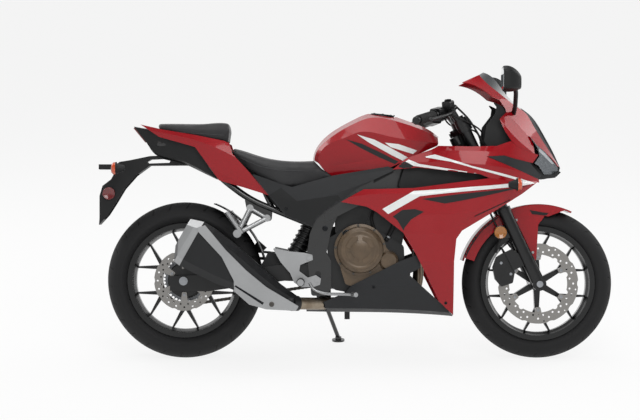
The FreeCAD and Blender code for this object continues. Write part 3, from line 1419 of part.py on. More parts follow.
def side_stand():
    pivot, axis = Vector(*stand_pivot), Vector(*stand_axis).normalize()
    sole = stand_sole()
    floor_up = Vector(0, -math.sin(lean), math.cos(lean))
    hub = rod(pivot - axis * 9, pivot + axis * 9, 17)
    leg = rod(pivot, sole + floor_up * 14, 8.5)
    foot = rod(sole, sole + floor_up * 7, 26)
    ankle = rod(sole + floor_up * 4, sole + floor_up * 18, 13)
    pin_hole = rod(pivot - axis * 30, pivot + axis * 30, stand_pin_radius + pin_clearance)
    lug_room = rod(pivot - axis * 40, pivot - axis * 9, 18 + fit_gap)
    head_room = rod(pivot + axis * 9, pivot + axis * 24, 11 + fit_gap)
    return fuse(hub, leg, foot, ankle).cut([pin_hole, lug_room, head_room])


def stand_pin():
    """The lug and pin that the side stand turns on."""
    pivot, axis = Vector(*stand_pivot), Vector(*stand_axis).normalize()
    pin = rod(pivot - axis * 30, pivot + axis * 15, stand_pin_radius)
    lug = rod(pivot - axis * 40, pivot - axis * (9 + fit_gap), 18)
    head = rod(pivot + axis * (9 + fit_gap), pivot + axis * 15, 11)
    return fuse(pin, lug, head)


def front_caliper():
    """The right fork leg's caliper: a body astride the disc, bolted to the leg by two ears."""
    inner = side_prism([(-136, 62), (-84, 62), (-66, 100), (-66, 150), (-96, 160), (-122, 138), (-140, 96)], -92, -42, 8)
    outer = side_prism([(-140, 54), (-92, 48), (-66, 84), (-58, 150), (-70, 172), (-108, 168), (-138, 138), (-150, 92)], -100, -68, 8)
    ears = side_prism([(-70, 92), (-8, 92), (-8, 120), (-40, 172), (-70, 172)], -112, -92, 6)
    slot = rod((0, front_disc_y - 4, 0), (0, front_disc_y + 4, 0), front_disc_radius + 7)
    leg = rod((0, -fork_y, 0), (0, -fork_y, slider_length), slider_radius + fit_gap)
    return in_fork_frame(largest(fuse(inner, outer, ears).cut([slot, leg])))


def brake_hose():
    """From the master cylinder round the yokes and behind the right leg to the caliper."""
    start = master_outlet()
    high, low = upper_yoke_s, lower_yoke_s
    run = [
        (28, -130, high + 40), (38, -104, high - 32), (42, -88, high - 97), (46, -68, low + 20), (46, -50, low - 24),
        (-14, -44, low - 90), (-54, -96, 356), (-54, -100, 236), (-100, -88, 184),
    ]
    points = [start] + [fork_frame.multVec(Vector(*p)) for p in run]
    return pipe(points, 4)


nodes = {}


def build_nodes():
    for name, shape in front_wheel().items():
        shape.translate(front_axle)
        nodes[name] = shape
    for name, shape in rear_wheel().items():
        shape.translate(rear_axle)
        nodes[name] = shape
    nodes["chain"] = chain_loop()
    nodes["fork_legs"] = fork_legs()
    nodes["yokes"] = yokes()
    nodes["front_axle"] = front_axle_pin()
    nodes["handlebars"] = handlebars()
    nodes["front_fender"] = front_fender()
    nodes["front_caliper"] = front_caliper()
    nodes["brake_hose"] = brake_hose()
    nodes["engine_block"] = engine_block()
    nodes["clutch_cover"] = clutch_cover()
    nodes["alternator_cover"] = fuse(alternator_cover(), sprocket_cover())
    nodes["radiator"] = radiator()
    nodes["exhaust_pipes"] = exhaust_pipes()
    nodes["muffler"] = muffler()
    nodes["muffler_trim"] = [muffler_cap(), heat_shield()]
    nodes["frame"] = fuse(frame(), stand_pin())
    nodes["subframe"] = subframe()
    nodes["swingarm"] = swingarm() + [pivot_bolt()]
    nodes["rear_axle"] = rear_axle_pin()
    nodes["rear_shock"] = rear_shock()
    nodes["rear_caliper"] = rear_caliper()
    nodes["chain_guard"] = chain_guard()
    nodes["fuel_tank"] = fuel_tank()
    nodes["fuel_cap"] = fuel_cap()
    nodes["rider_seat"] = rider_seat()
    nodes["pillion_seat"] = pillion_seat()
    nodes["tail_cowl"] = tail_cowl()
    nodes["tail_undertray"] = tail_undertray()
    nodes["tail_lamp"] = tail_lamp()
    nodes["rear_fender"] = rear_fender()
    nodes["rear_signals"] = rear_signals()
    nodes["side_covers"] = side_covers()
    nodes["fairing_left"] = fuse(fairing_side(), fairing_upper())
    nodes["fairing_right"] = mirrored(nodes["fairing_left"])
    nodes["front_cowl"] = front_cowl()
    nodes["nose_panels"] = nose_panels() + [lamp_surround()]
    nodes["windscreen"] = windscreen()
    nodes["headlamps"] = headlamps()
    nodes["dash"] = dash()
    nodes["cowl_stay"] = cowl_stay()
    nodes["inner_panels"] = inner_panels()
    nodes["mirrors"] = mirrors()
    nodes["front_signals"] = front_signals()
    nodes["belly_pan"] = belly_pan()
    nodes["rider_steps"] = rider_steps()
    nodes["pillion_steps"] = both_sides(pillion_step())
    nodes["side_stand"] = side_stand()


def main():
    os.makedirs("parts", exist_ok=True)
    build_nodes()
    for name, shape in nodes.items():
        solids = shape if isinstance(shape, list) else [shape]
        whole = Part.makeCompound(solids) if len(solids) > 1 else solids[0]
        whole = whole.copy()
        whole.Placement = row_frame.multiply(whole.Placement)
        whole.exportStep(os.path.join("parts", name + ".step"))
        box = whole.BoundBox
        print(name, len(whole.Solids), round(whole.Volume / 1000, 1), whole.isValid(),
              [round(v) for v in (box.XMin, box.XMax, box.YMin, box.YMax, box.ZMin, box.ZMax)])


if __name__ == "__main__":
    main()
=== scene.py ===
import math

import bmesh
import bpy
from bpy.props import FloatProperty, FloatVectorProperty, IntProperty, PointerProperty
from bpy.types import Operator, Panel, PropertyGroup
from mathutils import Matrix, Vector
from mathutils.bvhtree import BVHTree


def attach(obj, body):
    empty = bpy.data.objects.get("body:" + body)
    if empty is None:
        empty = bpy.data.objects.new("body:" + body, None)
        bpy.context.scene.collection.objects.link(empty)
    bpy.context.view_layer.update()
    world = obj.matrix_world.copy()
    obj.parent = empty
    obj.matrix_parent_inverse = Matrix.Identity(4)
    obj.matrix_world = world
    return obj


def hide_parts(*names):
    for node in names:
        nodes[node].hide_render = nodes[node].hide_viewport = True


bl_info = {
    "name": "Sport motorcycle dressing",
    "version": (1, 0, 0),
    "blender": (4, 5, 0),
    "location": "View3D > Sidebar > Motorcycle",
    "description": "Dresses the packed sport motorcycle with paint, rubber, metal, trim and light",
    "category": "Object",
}

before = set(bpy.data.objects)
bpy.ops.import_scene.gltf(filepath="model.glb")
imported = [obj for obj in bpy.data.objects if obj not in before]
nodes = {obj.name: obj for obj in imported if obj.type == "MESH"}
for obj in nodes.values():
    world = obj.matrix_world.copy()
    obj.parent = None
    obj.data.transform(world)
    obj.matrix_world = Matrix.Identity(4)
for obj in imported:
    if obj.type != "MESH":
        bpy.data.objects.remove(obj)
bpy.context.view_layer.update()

# The machine's own sizes, in millimetres from the rear axle's foot, upright
MM = 0.001
LEAN = math.radians(11.0)
RAKE = math.radians(25.5)
ROW_ORIGIN = (-682.0, -190.0)
WHEELBASE = 1410.0
BEAD_RADIUS = 217.0
FRONT_RADIUS, FRONT_WIDTH, FRONT_CROWN, FRONT_BEAD_HALF = 300.0, 120.0, 62.0, 46.0
REAR_RADIUS, REAR_WIDTH, REAR_CROWN, REAR_BEAD_HALF = 312.0, 160.0, 84.0, 58.0
GROUND_LIFT = REAR_CROWN * (1 - math.cos(LEAN))
FRONT_AXLE_Z = FRONT_RADIUS - FRONT_CROWN + (FRONT_CROWN - GROUND_LIFT) / math.cos(LEAN)
FORK_LENGTH = 728.0
BAR_INNER, BAR_OUTER = Vector((-32.6, 116, 35.3)), Vector((-182.6, 352, -18.7))
CHAIN_PITCH = 15.875
CHAIN_Y = 92.0
OUTER_PLATES, INNER_PLATES = ((6.0, 7.0), (-7.0, -6.0)), ((4.6, 5.7), (-5.7, -4.6))
REAR_TEETH, FRONT_TEETH = 41, 15
DRIVE_SHAFT = Vector((612.0, 338.0 - REAR_RADIUS))
CLUTCH_CENTRE = Vector((698, 0, 436))
ALTERNATOR_CENTRE = Vector((742, 0, 420))
SIDES = ((-1, "right"), (1, "left"))

# Half the angle that a tyre's round tread covers
TREAD_ARC = math.radians(62)
# Lines that look for a surface from the side start this far out
SIGHT_START = 420.0


# Places: the machine is measured upright, then leans onto its stand

TO_ROW = (
    Matrix.Translation(Vector((ROW_ORIGIN[0], ROW_ORIGIN[1], GROUND_LIFT)) * MM)
    @ Matrix.Rotation(-LEAN, 4, "X")
    @ Matrix.Scale(MM, 4)
)
FROM_ROW = TO_ROW.inverted()
TO_FORK = Matrix.Translation((WHEELBASE, 0, FRONT_AXLE_Z)) @ Matrix.Rotation(-RAKE, 4, "Y")


def row(x, y, z):
    """A point of the upright machine in the row frame, in metres."""
    return TO_ROW @ Vector((x, y, z))


def row_direction(x, y, z):
    """A direction of the upright machine in the row frame."""
    return (TO_ROW.to_3x3() @ Vector((x, y, z))).normalized()


def hex_colour(code, alpha=1.0):
    """Linear colour from an sRGB hex value."""
    channels = [int(code[i : i + 2], 16) / 255 for i in (1, 3, 5)]
    linear = [c / 12.92 if c <= 0.04045 else ((c + 0.055) / 1.055) ** 2.4 for c in channels]
    return (*linear, alpha)


def colour_prop(name, code, description):
    """A colour setting with its default in sRGB hex."""
    return FloatVectorProperty(
        name=name, description=description, default=hex_colour(code), subtype="COLOR", size=4, min=0, max=1
    )


class BodyworkSettings(PropertyGroup):
    red: colour_prop("Candy red", "#9C0413", "Paint of the panels, tank and front mudguard")
    white: colour_prop("White", "#F2F3F2", "The painted stripes")
    graphite: colour_prop("Graphite", "#0D0D0F", "The dark grey graphics")
    grey_plastic: colour_prop("Dark grey moulding", "#222325", "Belly pan and side covers")
    stripe_lift: FloatProperty(
        name="Stripe lift", description="How far a stripe stands off its panel, in millimetres",
        default=0.9, min=0.2, max=2,
    )
    orange_lens: colour_prop("Signal lens", "#CF4A06", "Lenses of the four signals")


class RunningGearSettings(PropertyGroup):
    black_casting: colour_prop("Black casting", "#0F1011", "Wheels, fork, swingarm and engine")
    bronze: colour_prop("Bronze cover", "#5A4A38", "The engine's side covers")
    tread_pitch: IntProperty(
        name="Tread grooves", description="Slanting grooves round each side of a tyre",
        default=26, min=12, max=48,
    )
    groove_width: FloatProperty(
        name="Groove width", description="Width of a tread groove in millimetres", default=5.0, min=2, max=9
    )


class SeatSettings(PropertyGroup):
    cover: colour_prop("Seat cover", "#1D1D1F", "The grained cover over both seats")
    crown: FloatProperty(
        name="Foam crown", description="How far the foam swells its cover, in millimetres",
        default=2.8, min=0, max=8,
    )


class StageSettings(PropertyGroup):
    floor: colour_prop("Floor", "#F2F2F1", "The plain pale floor")
    backdrop: FloatProperty(
        name="White share", description="How far the floor shows as the white background",
        default=0.85, min=0, max=1, subtype="FACTOR",
    )
    sky: FloatProperty(
        name="Fill light", description="Strength of the room's even light on the machine",
        default=0.42, min=0, max=2,
    )
    distance: FloatProperty(
        name="Camera distance", description="From the machine's middle to the camera",
        default=8.0, min=4, max=20, unit="LENGTH",
    )


# Materials

def add(tree, kind, settings=None, links=None):
    """Adds one node, sets its sockets or properties, and links sockets from others."""
    node = tree.nodes.new(kind)
    for key, value in (settings or {}).items():
        if isinstance(key, int) or key in node.inputs:
            node.inputs[key].default_value = value
        else:
            setattr(node, key, value)
    for key, source in (links or {}).items():
        tree.links.new(source, node.inputs[key])
    return node


def surface(name, colour, roughness, metallic=0.0, **sockets):
    """A new material with its shader's constants set on the sockets."""
    material = bpy.data.materials.new(name)
    material.use_nodes = True
    shader = material.node_tree.nodes["Principled BSDF"]
    shader.inputs["Base Color"].default_value = colour
    shader.inputs["Roughness"].default_value = roughness
    shader.inputs["Metallic"].default_value = metallic
    for key, value in sockets.items():
        shader.inputs[key.replace("_", " ")].default_value = value
    material.diffuse_color = colour
    return material, material.node_tree, shader


def grained(tree, shader, size_mm, height_mm, detail=3.0, base=None):
    """A fine random relief, its grain as wide as the moulding's or casting's own."""
    own_place = add(tree, "ShaderNodeTexCoord").outputs["Object"]
    noise = add(
        tree, "ShaderNodeTexNoise", {"Scale": 1 / (size_mm * MM), "Detail": detail, "Roughness": 0.55},
        {"Vector": own_place},
    )
    links = {"Height": noise.outputs["Fac"]}
    if base:
        links["Normal"] = base
    bump = add(tree, "ShaderNodeBump", {"Strength": 1.0, "Distance": height_mm * MM}, links)
    tree.links.new(bump.outputs["Normal"], shader.inputs["Normal"])


def worn(tree, shader, low, high, patch_mm, roughness):
    """Colour and roughness that drift in soft patches, as dust and handling leave them."""
    own_place = add(tree, "ShaderNodeTexCoord").outputs["Object"]
    noise = add(
        tree, "ShaderNodeTexNoise", {"Scale": 1 / (patch_mm * MM), "Detail": 4.0, "Roughness": 0.6},
        {"Vector": own_place},
    )
    ramp = add(tree, "ShaderNodeValToRGB", {}, {"Fac": noise.outputs["Fac"]})
    ramp.color_ramp.elements[0].position, ramp.color_ramp.elements[0].color = 0.3, low
    ramp.color_ramp.elements[1].position, ramp.color_ramp.elements[1].color = 0.75, high
    tree.links.new(ramp.outputs["Color"], shader.inputs["Base Color"])
    spread = add(
        tree, "ShaderNodeMapRange",
        {"From Min": 0.3, "From Max": 0.7, "To Min": roughness[0], "To Max": roughness[1]},
        {"Value": noise.outputs["Fac"]},
    )
    tree.links.new(spread.outputs["Result"], shader.inputs["Roughness"])


def shade(colour, factor):
    """A lighter or darker colour of the same hue."""
    return (*[min(1.0, c * factor) for c in colour[:3]], 1.0)


def candy_paint(name, colour):
    """Candy red over a bright base under clear lacquer: deep colour, fine glints and a sharp highlight."""
    material, tree, shader = surface(
        name, colour, 0.38, 0.1, Specular_IOR_Level=0.15, Coat_Weight=0.6, Coat_Roughness=0.04, Coat_IOR=1.5
    )
    own_place = add(tree, "ShaderNodeTexCoord").outputs["Object"]
    # Real flakes are far too fine for the picture, so these are 0.9 mm across
    flakes = add(tree, "ShaderNodeTexVoronoi", {"Scale": 1 / (0.9 * MM)}, {"Vector": own_place})
    tint = add(tree, "ShaderNodeValToRGB", {}, {"Fac": flakes.outputs["Color"]})
    tint.color_ramp.elements[0].position, tint.color_ramp.elements[0].color = 0.25, shade(colour, 0.86)
    tint.color_ramp.elements[1].position, tint.color_ramp.elements[1].color = 0.95, shade(colour, 1.22)
    tree.links.new(tint.outputs["Color"], shader.inputs["Base Color"])
    ripple = add(tree, "ShaderNodeTexNoise", {"Scale": 1 / (2.6 * MM), "Detail": 1.0}, {"Vector": own_place})
    bump = add(
        tree, "ShaderNodeBump", {"Strength": 0.35, "Distance": 0.03 * MM}, {"Height": ripple.outputs["Fac"]}
    )
    tree.links.new(bump.outputs["Normal"], shader.inputs["Coat Normal"])
    return material


def stripe_paint(name, colour, roughness=0.3, lacquer=0.7):
    """Painted stripe under the same lacquer: even, bright and smooth."""
    material, tree, shader = surface(
        name, colour, roughness, 0.0, Specular_IOR_Level=0.3, Coat_Weight=lacquer, Coat_Roughness=0.04
    )
    worn(tree, shader, shade(colour, 0.94), shade(colour, 1.03), 60, (roughness - 0.05, roughness + 0.06))
    return material


def moulded_abs(name, colour, grain_mm=0.8, roughness=0.52):
    """Unpainted ABS from an etched mould: a fine even grain and a low dull sheen."""
    material, tree, shader = surface(name, colour, roughness, 0.0, IOR=1.5, Specular_IOR_Level=0.35)
    worn(tree, shader, shade(colour, 0.82), shade(colour, 1.2), 45, (roughness - 0.08, roughness + 0.08))
    grained(tree, shader, grain_mm, 0.05)
    return material


def painted_casting(name, colour, roughness=0.36):
    """Satin paint over sand-cast aluminium: a soft sheen over a slight orange peel."""
    material, tree, shader = surface(name, colour, roughness, 0.35, Coat_Weight=0.25, Coat_Roughness=0.2)
    worn(tree, shader, shade(colour, 0.85), shade(colour, 1.35), 30, (roughness - 0.08, roughness + 0.1))
    grained(tree, shader, 2.2, 0.06)
    return material


def enamelled_steel(name, colour, roughness=0.3):
    """Black enamel on welded tube: smoother and glossier than the castings."""
    material, tree, shader = surface(name, colour, roughness, 0.0, Coat_Weight=0.5, Coat_Roughness=0.12)
    worn(tree, shader, shade(colour, 0.85), shade(colour, 1.3), 50, (roughness - 0.06, roughness + 0.08))
    return material


def turned_steel(name, colour, roughness=0.28):
    """Bright steel turned or ground: fine tool marks that draw the highlight out."""
    material, tree, shader = surface(name, colour, roughness, 1.0)
    worn(tree, shader, shade(colour, 0.8), shade(colour, 1.1), 22, (roughness - 0.08, roughness + 0.12))
    grained(tree, shader, 0.6, 0.015, 1.0)
    return material


def brushed_aluminium(name, colour, roughness=0.36):
    """Satin aluminium, finely brushed and clear coated: even, with a soft bright highlight."""
    material, tree, shader = surface(name, colour, roughness, 0.85, Coat_Weight=0.2, Coat_Roughness=0.15)
    worn(tree, shader, shade(colour, 0.93), shade(colour, 1.05), 120, (roughness - 0.03, roughness + 0.04))
    # Brush marks of about 0.3 mm are too fine for the picture, so they are drawn three times as coarse
    grained(tree, shader, 0.9, 0.012, 2.0)
    return material


def ground_disc(name, colour, centre):
    """A brake disc's swept face: rings left by the pads, brighter than its rim."""
    material, tree, shader = surface(name, colour, 0.26, 1.0)
    own_place = add(tree, "ShaderNodeTexCoord").outputs["Object"]
    shift = add(tree, "ShaderNodeMapping", {"Location": -centre}, {"Vector": own_place})
    apart = add(tree, "ShaderNodeVectorMath", {"operation": "LENGTH"}, {"Vector": shift.outputs["Vector"]})
    # Pad marks are finer than the picture shows, so these rings stand about 1.1 mm apart
    rings = add(
        tree, "ShaderNodeTexNoise", {"noise_dimensions": "1D", "Scale": 0.9 / MM, "Detail": 3.0},
        {"W": apart.outputs["Value"]},
    )
    tone = add(tree, "ShaderNodeMapRange", {"To Min": 0.16, "To Max": 0.42}, {"Value": rings.outputs["Fac"]})
    tree.links.new(tone.outputs["Result"], shader.inputs["Roughness"])
    bump = add(
        tree, "ShaderNodeBump", {"Strength": 0.6, "Distance": 0.03 * MM}, {"Height": rings.outputs["Fac"]}
    )
    tree.links.new(bump.outputs["Normal"], shader.inputs["Normal"])
    return material


def heated_steel(name, colour):
    """Stainless exhaust tube: straw and brown tints where the gas has heated it."""
    material, tree, shader = surface(name, colour, 0.32, 1.0)
    worn(tree, shader, hex_colour("#6B5A48"), hex_colour("#A79C8C"), 60, (0.26, 0.42))
    grained(tree, shader, 1.0, 0.02, 2.0)
    return material


def tyre_rubber(name, grooves, groove_width_mm, radius_mm):
    """Road tyre rubber, moulded: matt carbon black, with slanting water grooves pressed into the tread,
    painted shade in them.
    """
    colour = hex_colour("#1B1B1C")
    material, tree, shader = surface(name, colour, 0.72, 0.0, Specular_IOR_Level=0.35)
    uv = add(tree, "ShaderNodeSeparateXYZ", {}, {"Vector": add(tree, "ShaderNodeTexCoord").outputs["UV"]})
    maths, ranged = "ShaderNodeMath", "ShaderNodeMapRange"
    side = add(tree, maths, {"operation": "ABSOLUTE"}, {0: uv.outputs["Y"]}).outputs["Value"]
    # The other side's grooves start half a pitch later, and all of them slant across the tread
    half_turn = add(tree, maths, {"operation": "LESS_THAN", 1: 0.0}, {0: uv.outputs["Y"]}).outputs["Value"]
    slant = add(tree, maths, {"operation": "MULTIPLY", 1: 0.020}, {0: side}).outputs["Value"]
    later = {"operation": "MULTIPLY_ADD", 1: 0.5 / grooves}
    turn = add(tree, maths, later, {0: half_turn, 2: uv.outputs["X"]}).outputs["Value"]
    along = add(tree, maths, {"operation": "ADD"}, {0: turn, 1: slant}).outputs["Value"]
    count = add(tree, maths, {"operation": "MULTIPLY", 1: float(grooves)}, {0: along}).outputs["Value"]
    step = add(tree, maths, {"operation": "FRACT"}, {0: count}).outputs["Value"]
    off = add(tree, maths, {"operation": "SUBTRACT", 1: 0.5}, {0: step}).outputs["Value"]
    away = add(tree, maths, {"operation": "ABSOLUTE"}, {0: off}).outputs["Value"]
    width = groove_width_mm * grooves / (2 * math.pi * radius_mm)
    wall = {"From Min": width * 0.5, "From Max": width * 0.9, "To Min": 0.0, "To Max": 1.0}
    cut = add(tree, ranged, wall, {"Value": away}).outputs["Result"]
    # The middle of the tread and the flanks below it have no grooves
    middle = {"From Min": 0.10, "From Max": 0.13, "To Min": 1.0, "To Max": 0.0}
    flank = {"From Min": 0.74, "From Max": 0.78, "To Min": 0.0, "To Max": 1.0}
    inner = add(tree, ranged, middle, {"Value": side}).outputs["Result"]
    outer = add(tree, ranged, flank, {"Value": side}).outputs["Result"]
    band = add(tree, maths, {"operation": "MAXIMUM"}, {0: inner, 1: outer}).outputs["Value"]
    height = add(tree, maths, {"operation": "MAXIMUM"}, {0: cut, 1: band}).outputs["Value"]
    # The grooves are painted near black: painted shade in the recesses
    groove_shade_tones = {"data_type": "RGBA", "A": hex_colour("#060606"), "B": colour}
    tone = add(tree, "ShaderNodeMix", groove_shade_tones, {"Factor": height})
    tree.links.new(tone.outputs["Result"], shader.inputs["Base Color"])
    bump = add(tree, "ShaderNodeBump", {"Strength": 1.0, "Distance": 4 * MM}, {"Height": height})
    grained(tree, shader, 1.4, 0.05, 3.0, bump.outputs["Normal"])
    return material


def rubber(name, colour, roughness=0.62):
    """Moulded rubber: soft, dark and without a clear highlight."""
    material, tree, shader = surface(name, colour, roughness, 0.0, Specular_IOR_Level=0.4)
    worn(tree, shader, shade(colour, 0.8), shade(colour, 1.4), 12, (roughness - 0.08, roughness + 0.1))
    grained(tree, shader, 0.9, 0.05)
    return material


def seat_vinyl(name, colour):
    """Grained seat vinyl over foam: pebbled, dull, with a slight sheen at a low angle."""
    material, tree, shader = surface(name, colour, 0.6, 0.0, Sheen_Weight=0.15, Sheen_Roughness=0.5)
    worn(tree, shader, shade(colour, 0.8), shade(colour, 1.35), 40, (0.5, 0.68))
    own_place = add(tree, "ShaderNodeTexCoord").outputs["Object"]
    pebbles = add(
        tree, "ShaderNodeTexVoronoi", {"feature": "F1", "Scale": 1 / (2.2 * MM)}, {"Vector": own_place}
    )
    bump = add(
        tree, "ShaderNodeBump", {"Strength": 0.8, "Distance": 0.2 * MM, "invert": True},
        {"Height": pebbles.outputs["Distance"]},
    )
    tree.links.new(bump.outputs["Normal"], shader.inputs["Normal"])
    return material


def tinted_screen(name):
    """Smoke acrylic, thin and glossy: a grey veil that shows the dark cockpit behind it."""
    smoke = hex_colour("#2C2F33")
    return surface(name, smoke, 0.06, 0.0, Coat_Weight=1.0, Coat_Roughness=0.02, Alpha=0.9)[0]


def clear_lens(name):
    """Clear polycarbonate: the reflectors behind show through a sharp skin of highlights."""
    return surface(name, hex_colour("#8C9196"), 0.03, 0.0, IOR=1.58, Alpha=0.3)[0]


def lens(name, colour, rib_mm):
    """Coloured signal lens: fine optic ribs inside a glossy skin, with painted highlight and painted shade in
    each cell.
    """
    material, tree, shader = surface(name, colour, 0.18, 0.0, Coat_Weight=1.0, Coat_Roughness=0.03)
    own_place = add(tree, "ShaderNodeTexCoord").outputs["Object"]
    ribs = {"distance": "CHEBYCHEV", "Randomness": 0.1, "Scale": 1 / (rib_mm * MM)}
    cells = add(tree, "ShaderNodeTexVoronoi", ribs, {"Vector": own_place})
    bump = add(
        tree, "ShaderNodeBump", {"Strength": 0.6, "Distance": 0.4 * MM}, {"Height": cells.outputs["Distance"]}
    )
    tree.links.new(bump.outputs["Normal"], shader.inputs["Normal"])
    # Each optic cell is painted lighter in its middle and darker towards its edges: painted highlight and
    # painted shade
    tone = add(tree, "ShaderNodeValToRGB", {}, {"Fac": cells.outputs["Distance"]})
    tone.color_ramp.elements[0].color = shade(colour, 1.3)
    tone.color_ramp.elements[1].color = shade(colour, 0.55)
    tree.links.new(tone.outputs["Color"], shader.inputs["Base Color"])
    return material


def mirror_glass(name):
    """Silvered glass: it shows what faces it."""
    return surface(name, hex_colour("#D8DCDD"), 0.02, 1.0)[0]


def dark_glass(name, colour):
    """A lens or cover over a dark chamber: near black with one sharp highlight."""
    material, tree, shader = surface(name, colour, 0.06, 0.0, Coat_Weight=1.0, Coat_Roughness=0.02)
    worn(tree, shader, shade(colour, 0.7), shade(colour, 1.6), 8, (0.04, 0.09))
    return material


def finned_core(name):
    """Black radiator matrix: fine folded fins between its flat tubes."""
    material, tree, shader = surface(name, hex_colour("#141516"), 0.5, 0.5)
    own_place = add(tree, "ShaderNodeTexCoord").outputs["Object"]
    # Real fins stand 1.5 mm apart, too fine for the picture, so these are wider
    fins = add(
        tree, "ShaderNodeTexWave", {"bands_direction": "Z", "Scale": 1 / (4 * MM) / (2 * math.pi)},
        {"Vector": own_place},
    )
    bump = add(tree, "ShaderNodeBump", {"Strength": 1.0, "Distance": MM}, {"Height": fins.outputs["Fac"]})
    tree.links.new(bump.outputs["Normal"], shader.inputs["Normal"])
    return material


palette = {}


def finish_of(key):
    """Each finish is made once and shared by all its pieces."""
    if key not in palette:
        body = bpy.context.scene.bike_bodywork
        gear = bpy.context.scene.bike_running_gear
        black, disc = tuple(gear.black_casting), hex_colour("#8F8D8A")
        tread = (gear.tread_pitch, gear.groove_width)
        makers = {
            "red": lambda: candy_paint("candy_red_lacquer", tuple(body.red)),
            "white": lambda: stripe_paint("white_stripe_lacquer", tuple(body.white)),
            "graphite": lambda: stripe_paint("graphite_stripe_lacquer", tuple(body.graphite), 0.45, 0.3),
            "grey_plastic": lambda: moulded_abs("moulded_grey_abs", tuple(body.grey_plastic)),
            "black_plastic": lambda: moulded_abs("moulded_black_abs", hex_colour("#111213")),
            "casting": lambda: painted_casting("black_painted_casting", black),
            "wheel": lambda: painted_casting("black_painted_wheel", hex_colour("#0C0D0E"), 0.26),
            "frame": lambda: enamelled_steel("black_enamelled_frame", hex_colour("#0D0E0F")),
            "bronze": lambda: painted_casting("bronze_painted_casting", tuple(gear.bronze), 0.4),
            "silver": lambda: brushed_aluminium("brushed_aluminium", hex_colour("#A6A7A8")),
            "dark_steel": lambda: turned_steel("oiled_steel", hex_colour("#5E5B57"), 0.4),
            "zinc": lambda: turned_steel("zinc_plated_steel", hex_colour("#9FA2A6"), 0.34),
            "front_disc": lambda: ground_disc("ground_front_disc", disc, row(WHEELBASE, -63, FRONT_AXLE_Z)),
            "rear_disc": lambda: ground_disc("ground_rear_disc", disc, row(0, -80, REAR_RADIUS)),
            "exhaust": lambda: heated_steel("heated_stainless", hex_colour("#8E8272")),
            "muffler": lambda: moulded_abs("satin_black_can", hex_colour("#17181A"), 1.2, 0.38),
            "rubber": lambda: rubber("moulded_rubber", hex_colour("#191919")),
            "seat": lambda: seat_vinyl("grained_seat_vinyl", tuple(bpy.context.scene.bike_seats.cover)),
            "thread": lambda: rubber("seat_thread", hex_colour("#3A3A3C"), 0.7),
            "screen": lambda: tinted_screen("smoke_acrylic"),
            "clear": lambda: clear_lens("clear_polycarbonate"),
            "orange": lambda: lens("orange_lens", tuple(body.orange_lens), 3.0),
            "amber": lambda: lens("amber_reflector", hex_colour("#A8650A"), 2.0),
            "ruby": lambda: lens("ruby_lens", hex_colour("#6E060A"), 3.0),
            "chrome": lambda: turned_steel("bright_reflector", hex_colour("#E4E6E8"), 0.1),
            "mirror": lambda: mirror_glass("silvered_glass"),
            "cap": lambda: turned_steel("anodised_cap", hex_colour("#3A3B3D"), 0.32),
            "lamp_body": lambda: brushed_aluminium("vapour_coated_reflector", hex_colour("#6A6E72"), 0.2),
            "projector": lambda: dark_glass("projector_lens", hex_colour("#0A0A0C")),
            "display": lambda: dark_glass("instrument_glass", hex_colour("#14171A")),
            "spring": lambda: enamelled_steel("powder_coated_spring", hex_colour("#1A1A1C"), 0.35),
            "bolt": lambda: turned_steel("blackened_screw", hex_colour("#2A2B2D"), 0.36),
            # Seams and slots are painted near black: painted shade in the gaps
            "seam": lambda: moulded_abs("shadow_gap", hex_colour("#16080A")),
            "core": lambda: finned_core("radiator_matrix"),
            "front_tyre": lambda: tyre_rubber("front_tyre_rubber", *tread, FRONT_RADIUS),
            "rear_tyre": lambda: tyre_rubber("rear_tyre_rubber", *tread, REAR_RADIUS),
        }
        palette[key] = makers[key]()
    return palette[key]


# Mesh helpers

def riding(name, mesh, finish, body, smooth=True):
    """A mesh as an object with its finish, carried by a body."""
    thing = bpy.data.objects.new(name, mesh)
    bpy.context.scene.collection.objects.link(thing)
    mesh.materials.append(finish_of(finish))
    for polygon in mesh.polygons:
        polygon.use_smooth = smooth
    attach(thing, body)
    return thing


def piece(name, vertices, faces, finish, body, smooth=True, matrix=None):
    """A piece from its points and faces, turned outward, that rides on a body."""
    mesh = bpy.data.meshes.new(name)
    mesh.from_pydata([tuple(v) for v in vertices], [], faces)
    if matrix is not None:
        mesh.transform(matrix)
    mesh.update()
    fix = bmesh.new()
    fix.from_mesh(mesh)
    bmesh.ops.recalc_face_normals(fix, faces=fix.faces)
    fix.to_mesh(mesh)
    fix.free()
    return riding(name, mesh, finish, body, smooth)


def soft_edges(thing, angle_deg=35.0):
    """Smooth shading that keeps edges sharper than the angle."""
    for polygon in thing.data.polygons:
        polygon.use_smooth = True
    thing.data.set_sharp_from_angle(angle=math.radians(angle_deg))


def revolve(profile, steps, axis_matrix, closed=False):
    """Vertices and faces of a profile of (radius, along) points carried round an axis."""
    vertices, faces = [], []
    count = len(profile)
    for index in range(steps):
        angle = 2 * math.pi * index / steps
        for radius, along in profile:
            vertices.append(axis_matrix @ Vector((radius * math.cos(angle), radius * math.sin(angle), along)))
    for index in range(steps):
        here, there = index * count, (index + 1) % steps * count
        for k in range(count if closed else count - 1):
            n = (k + 1) % count
            faces.append((here + k, here + n, there + n, there + k))
    return vertices, faces


def joined(parts):
    """One list of vertices and faces from several."""
    vertices, faces = [], []
    for v, f in parts:
        base = len(vertices)
        vertices += v
        faces += [tuple(i + base for i in face) for face in f]
    return vertices, faces


def axis_at(point, direction):
    """A frame whose Z runs along direction from point, in upright millimetres."""
    z = Vector(direction).normalized()
    return Matrix.Translation(Vector(point)) @ z.to_track_quat("Z", "Y").to_matrix().to_4x4()


def socket_screw(point, direction, radius, height):
    """A cap screw with a rounded head and its hexagon recess, standing on a face."""
    profile = [
        (0.01, height - 2.4), (radius * 0.52, height - 2.4), (radius * 0.56, height), (radius * 0.86, height),
        (radius, height - 0.6), (radius, -1.0),
    ]
    return revolve(profile, 14, axis_at(point, direction))


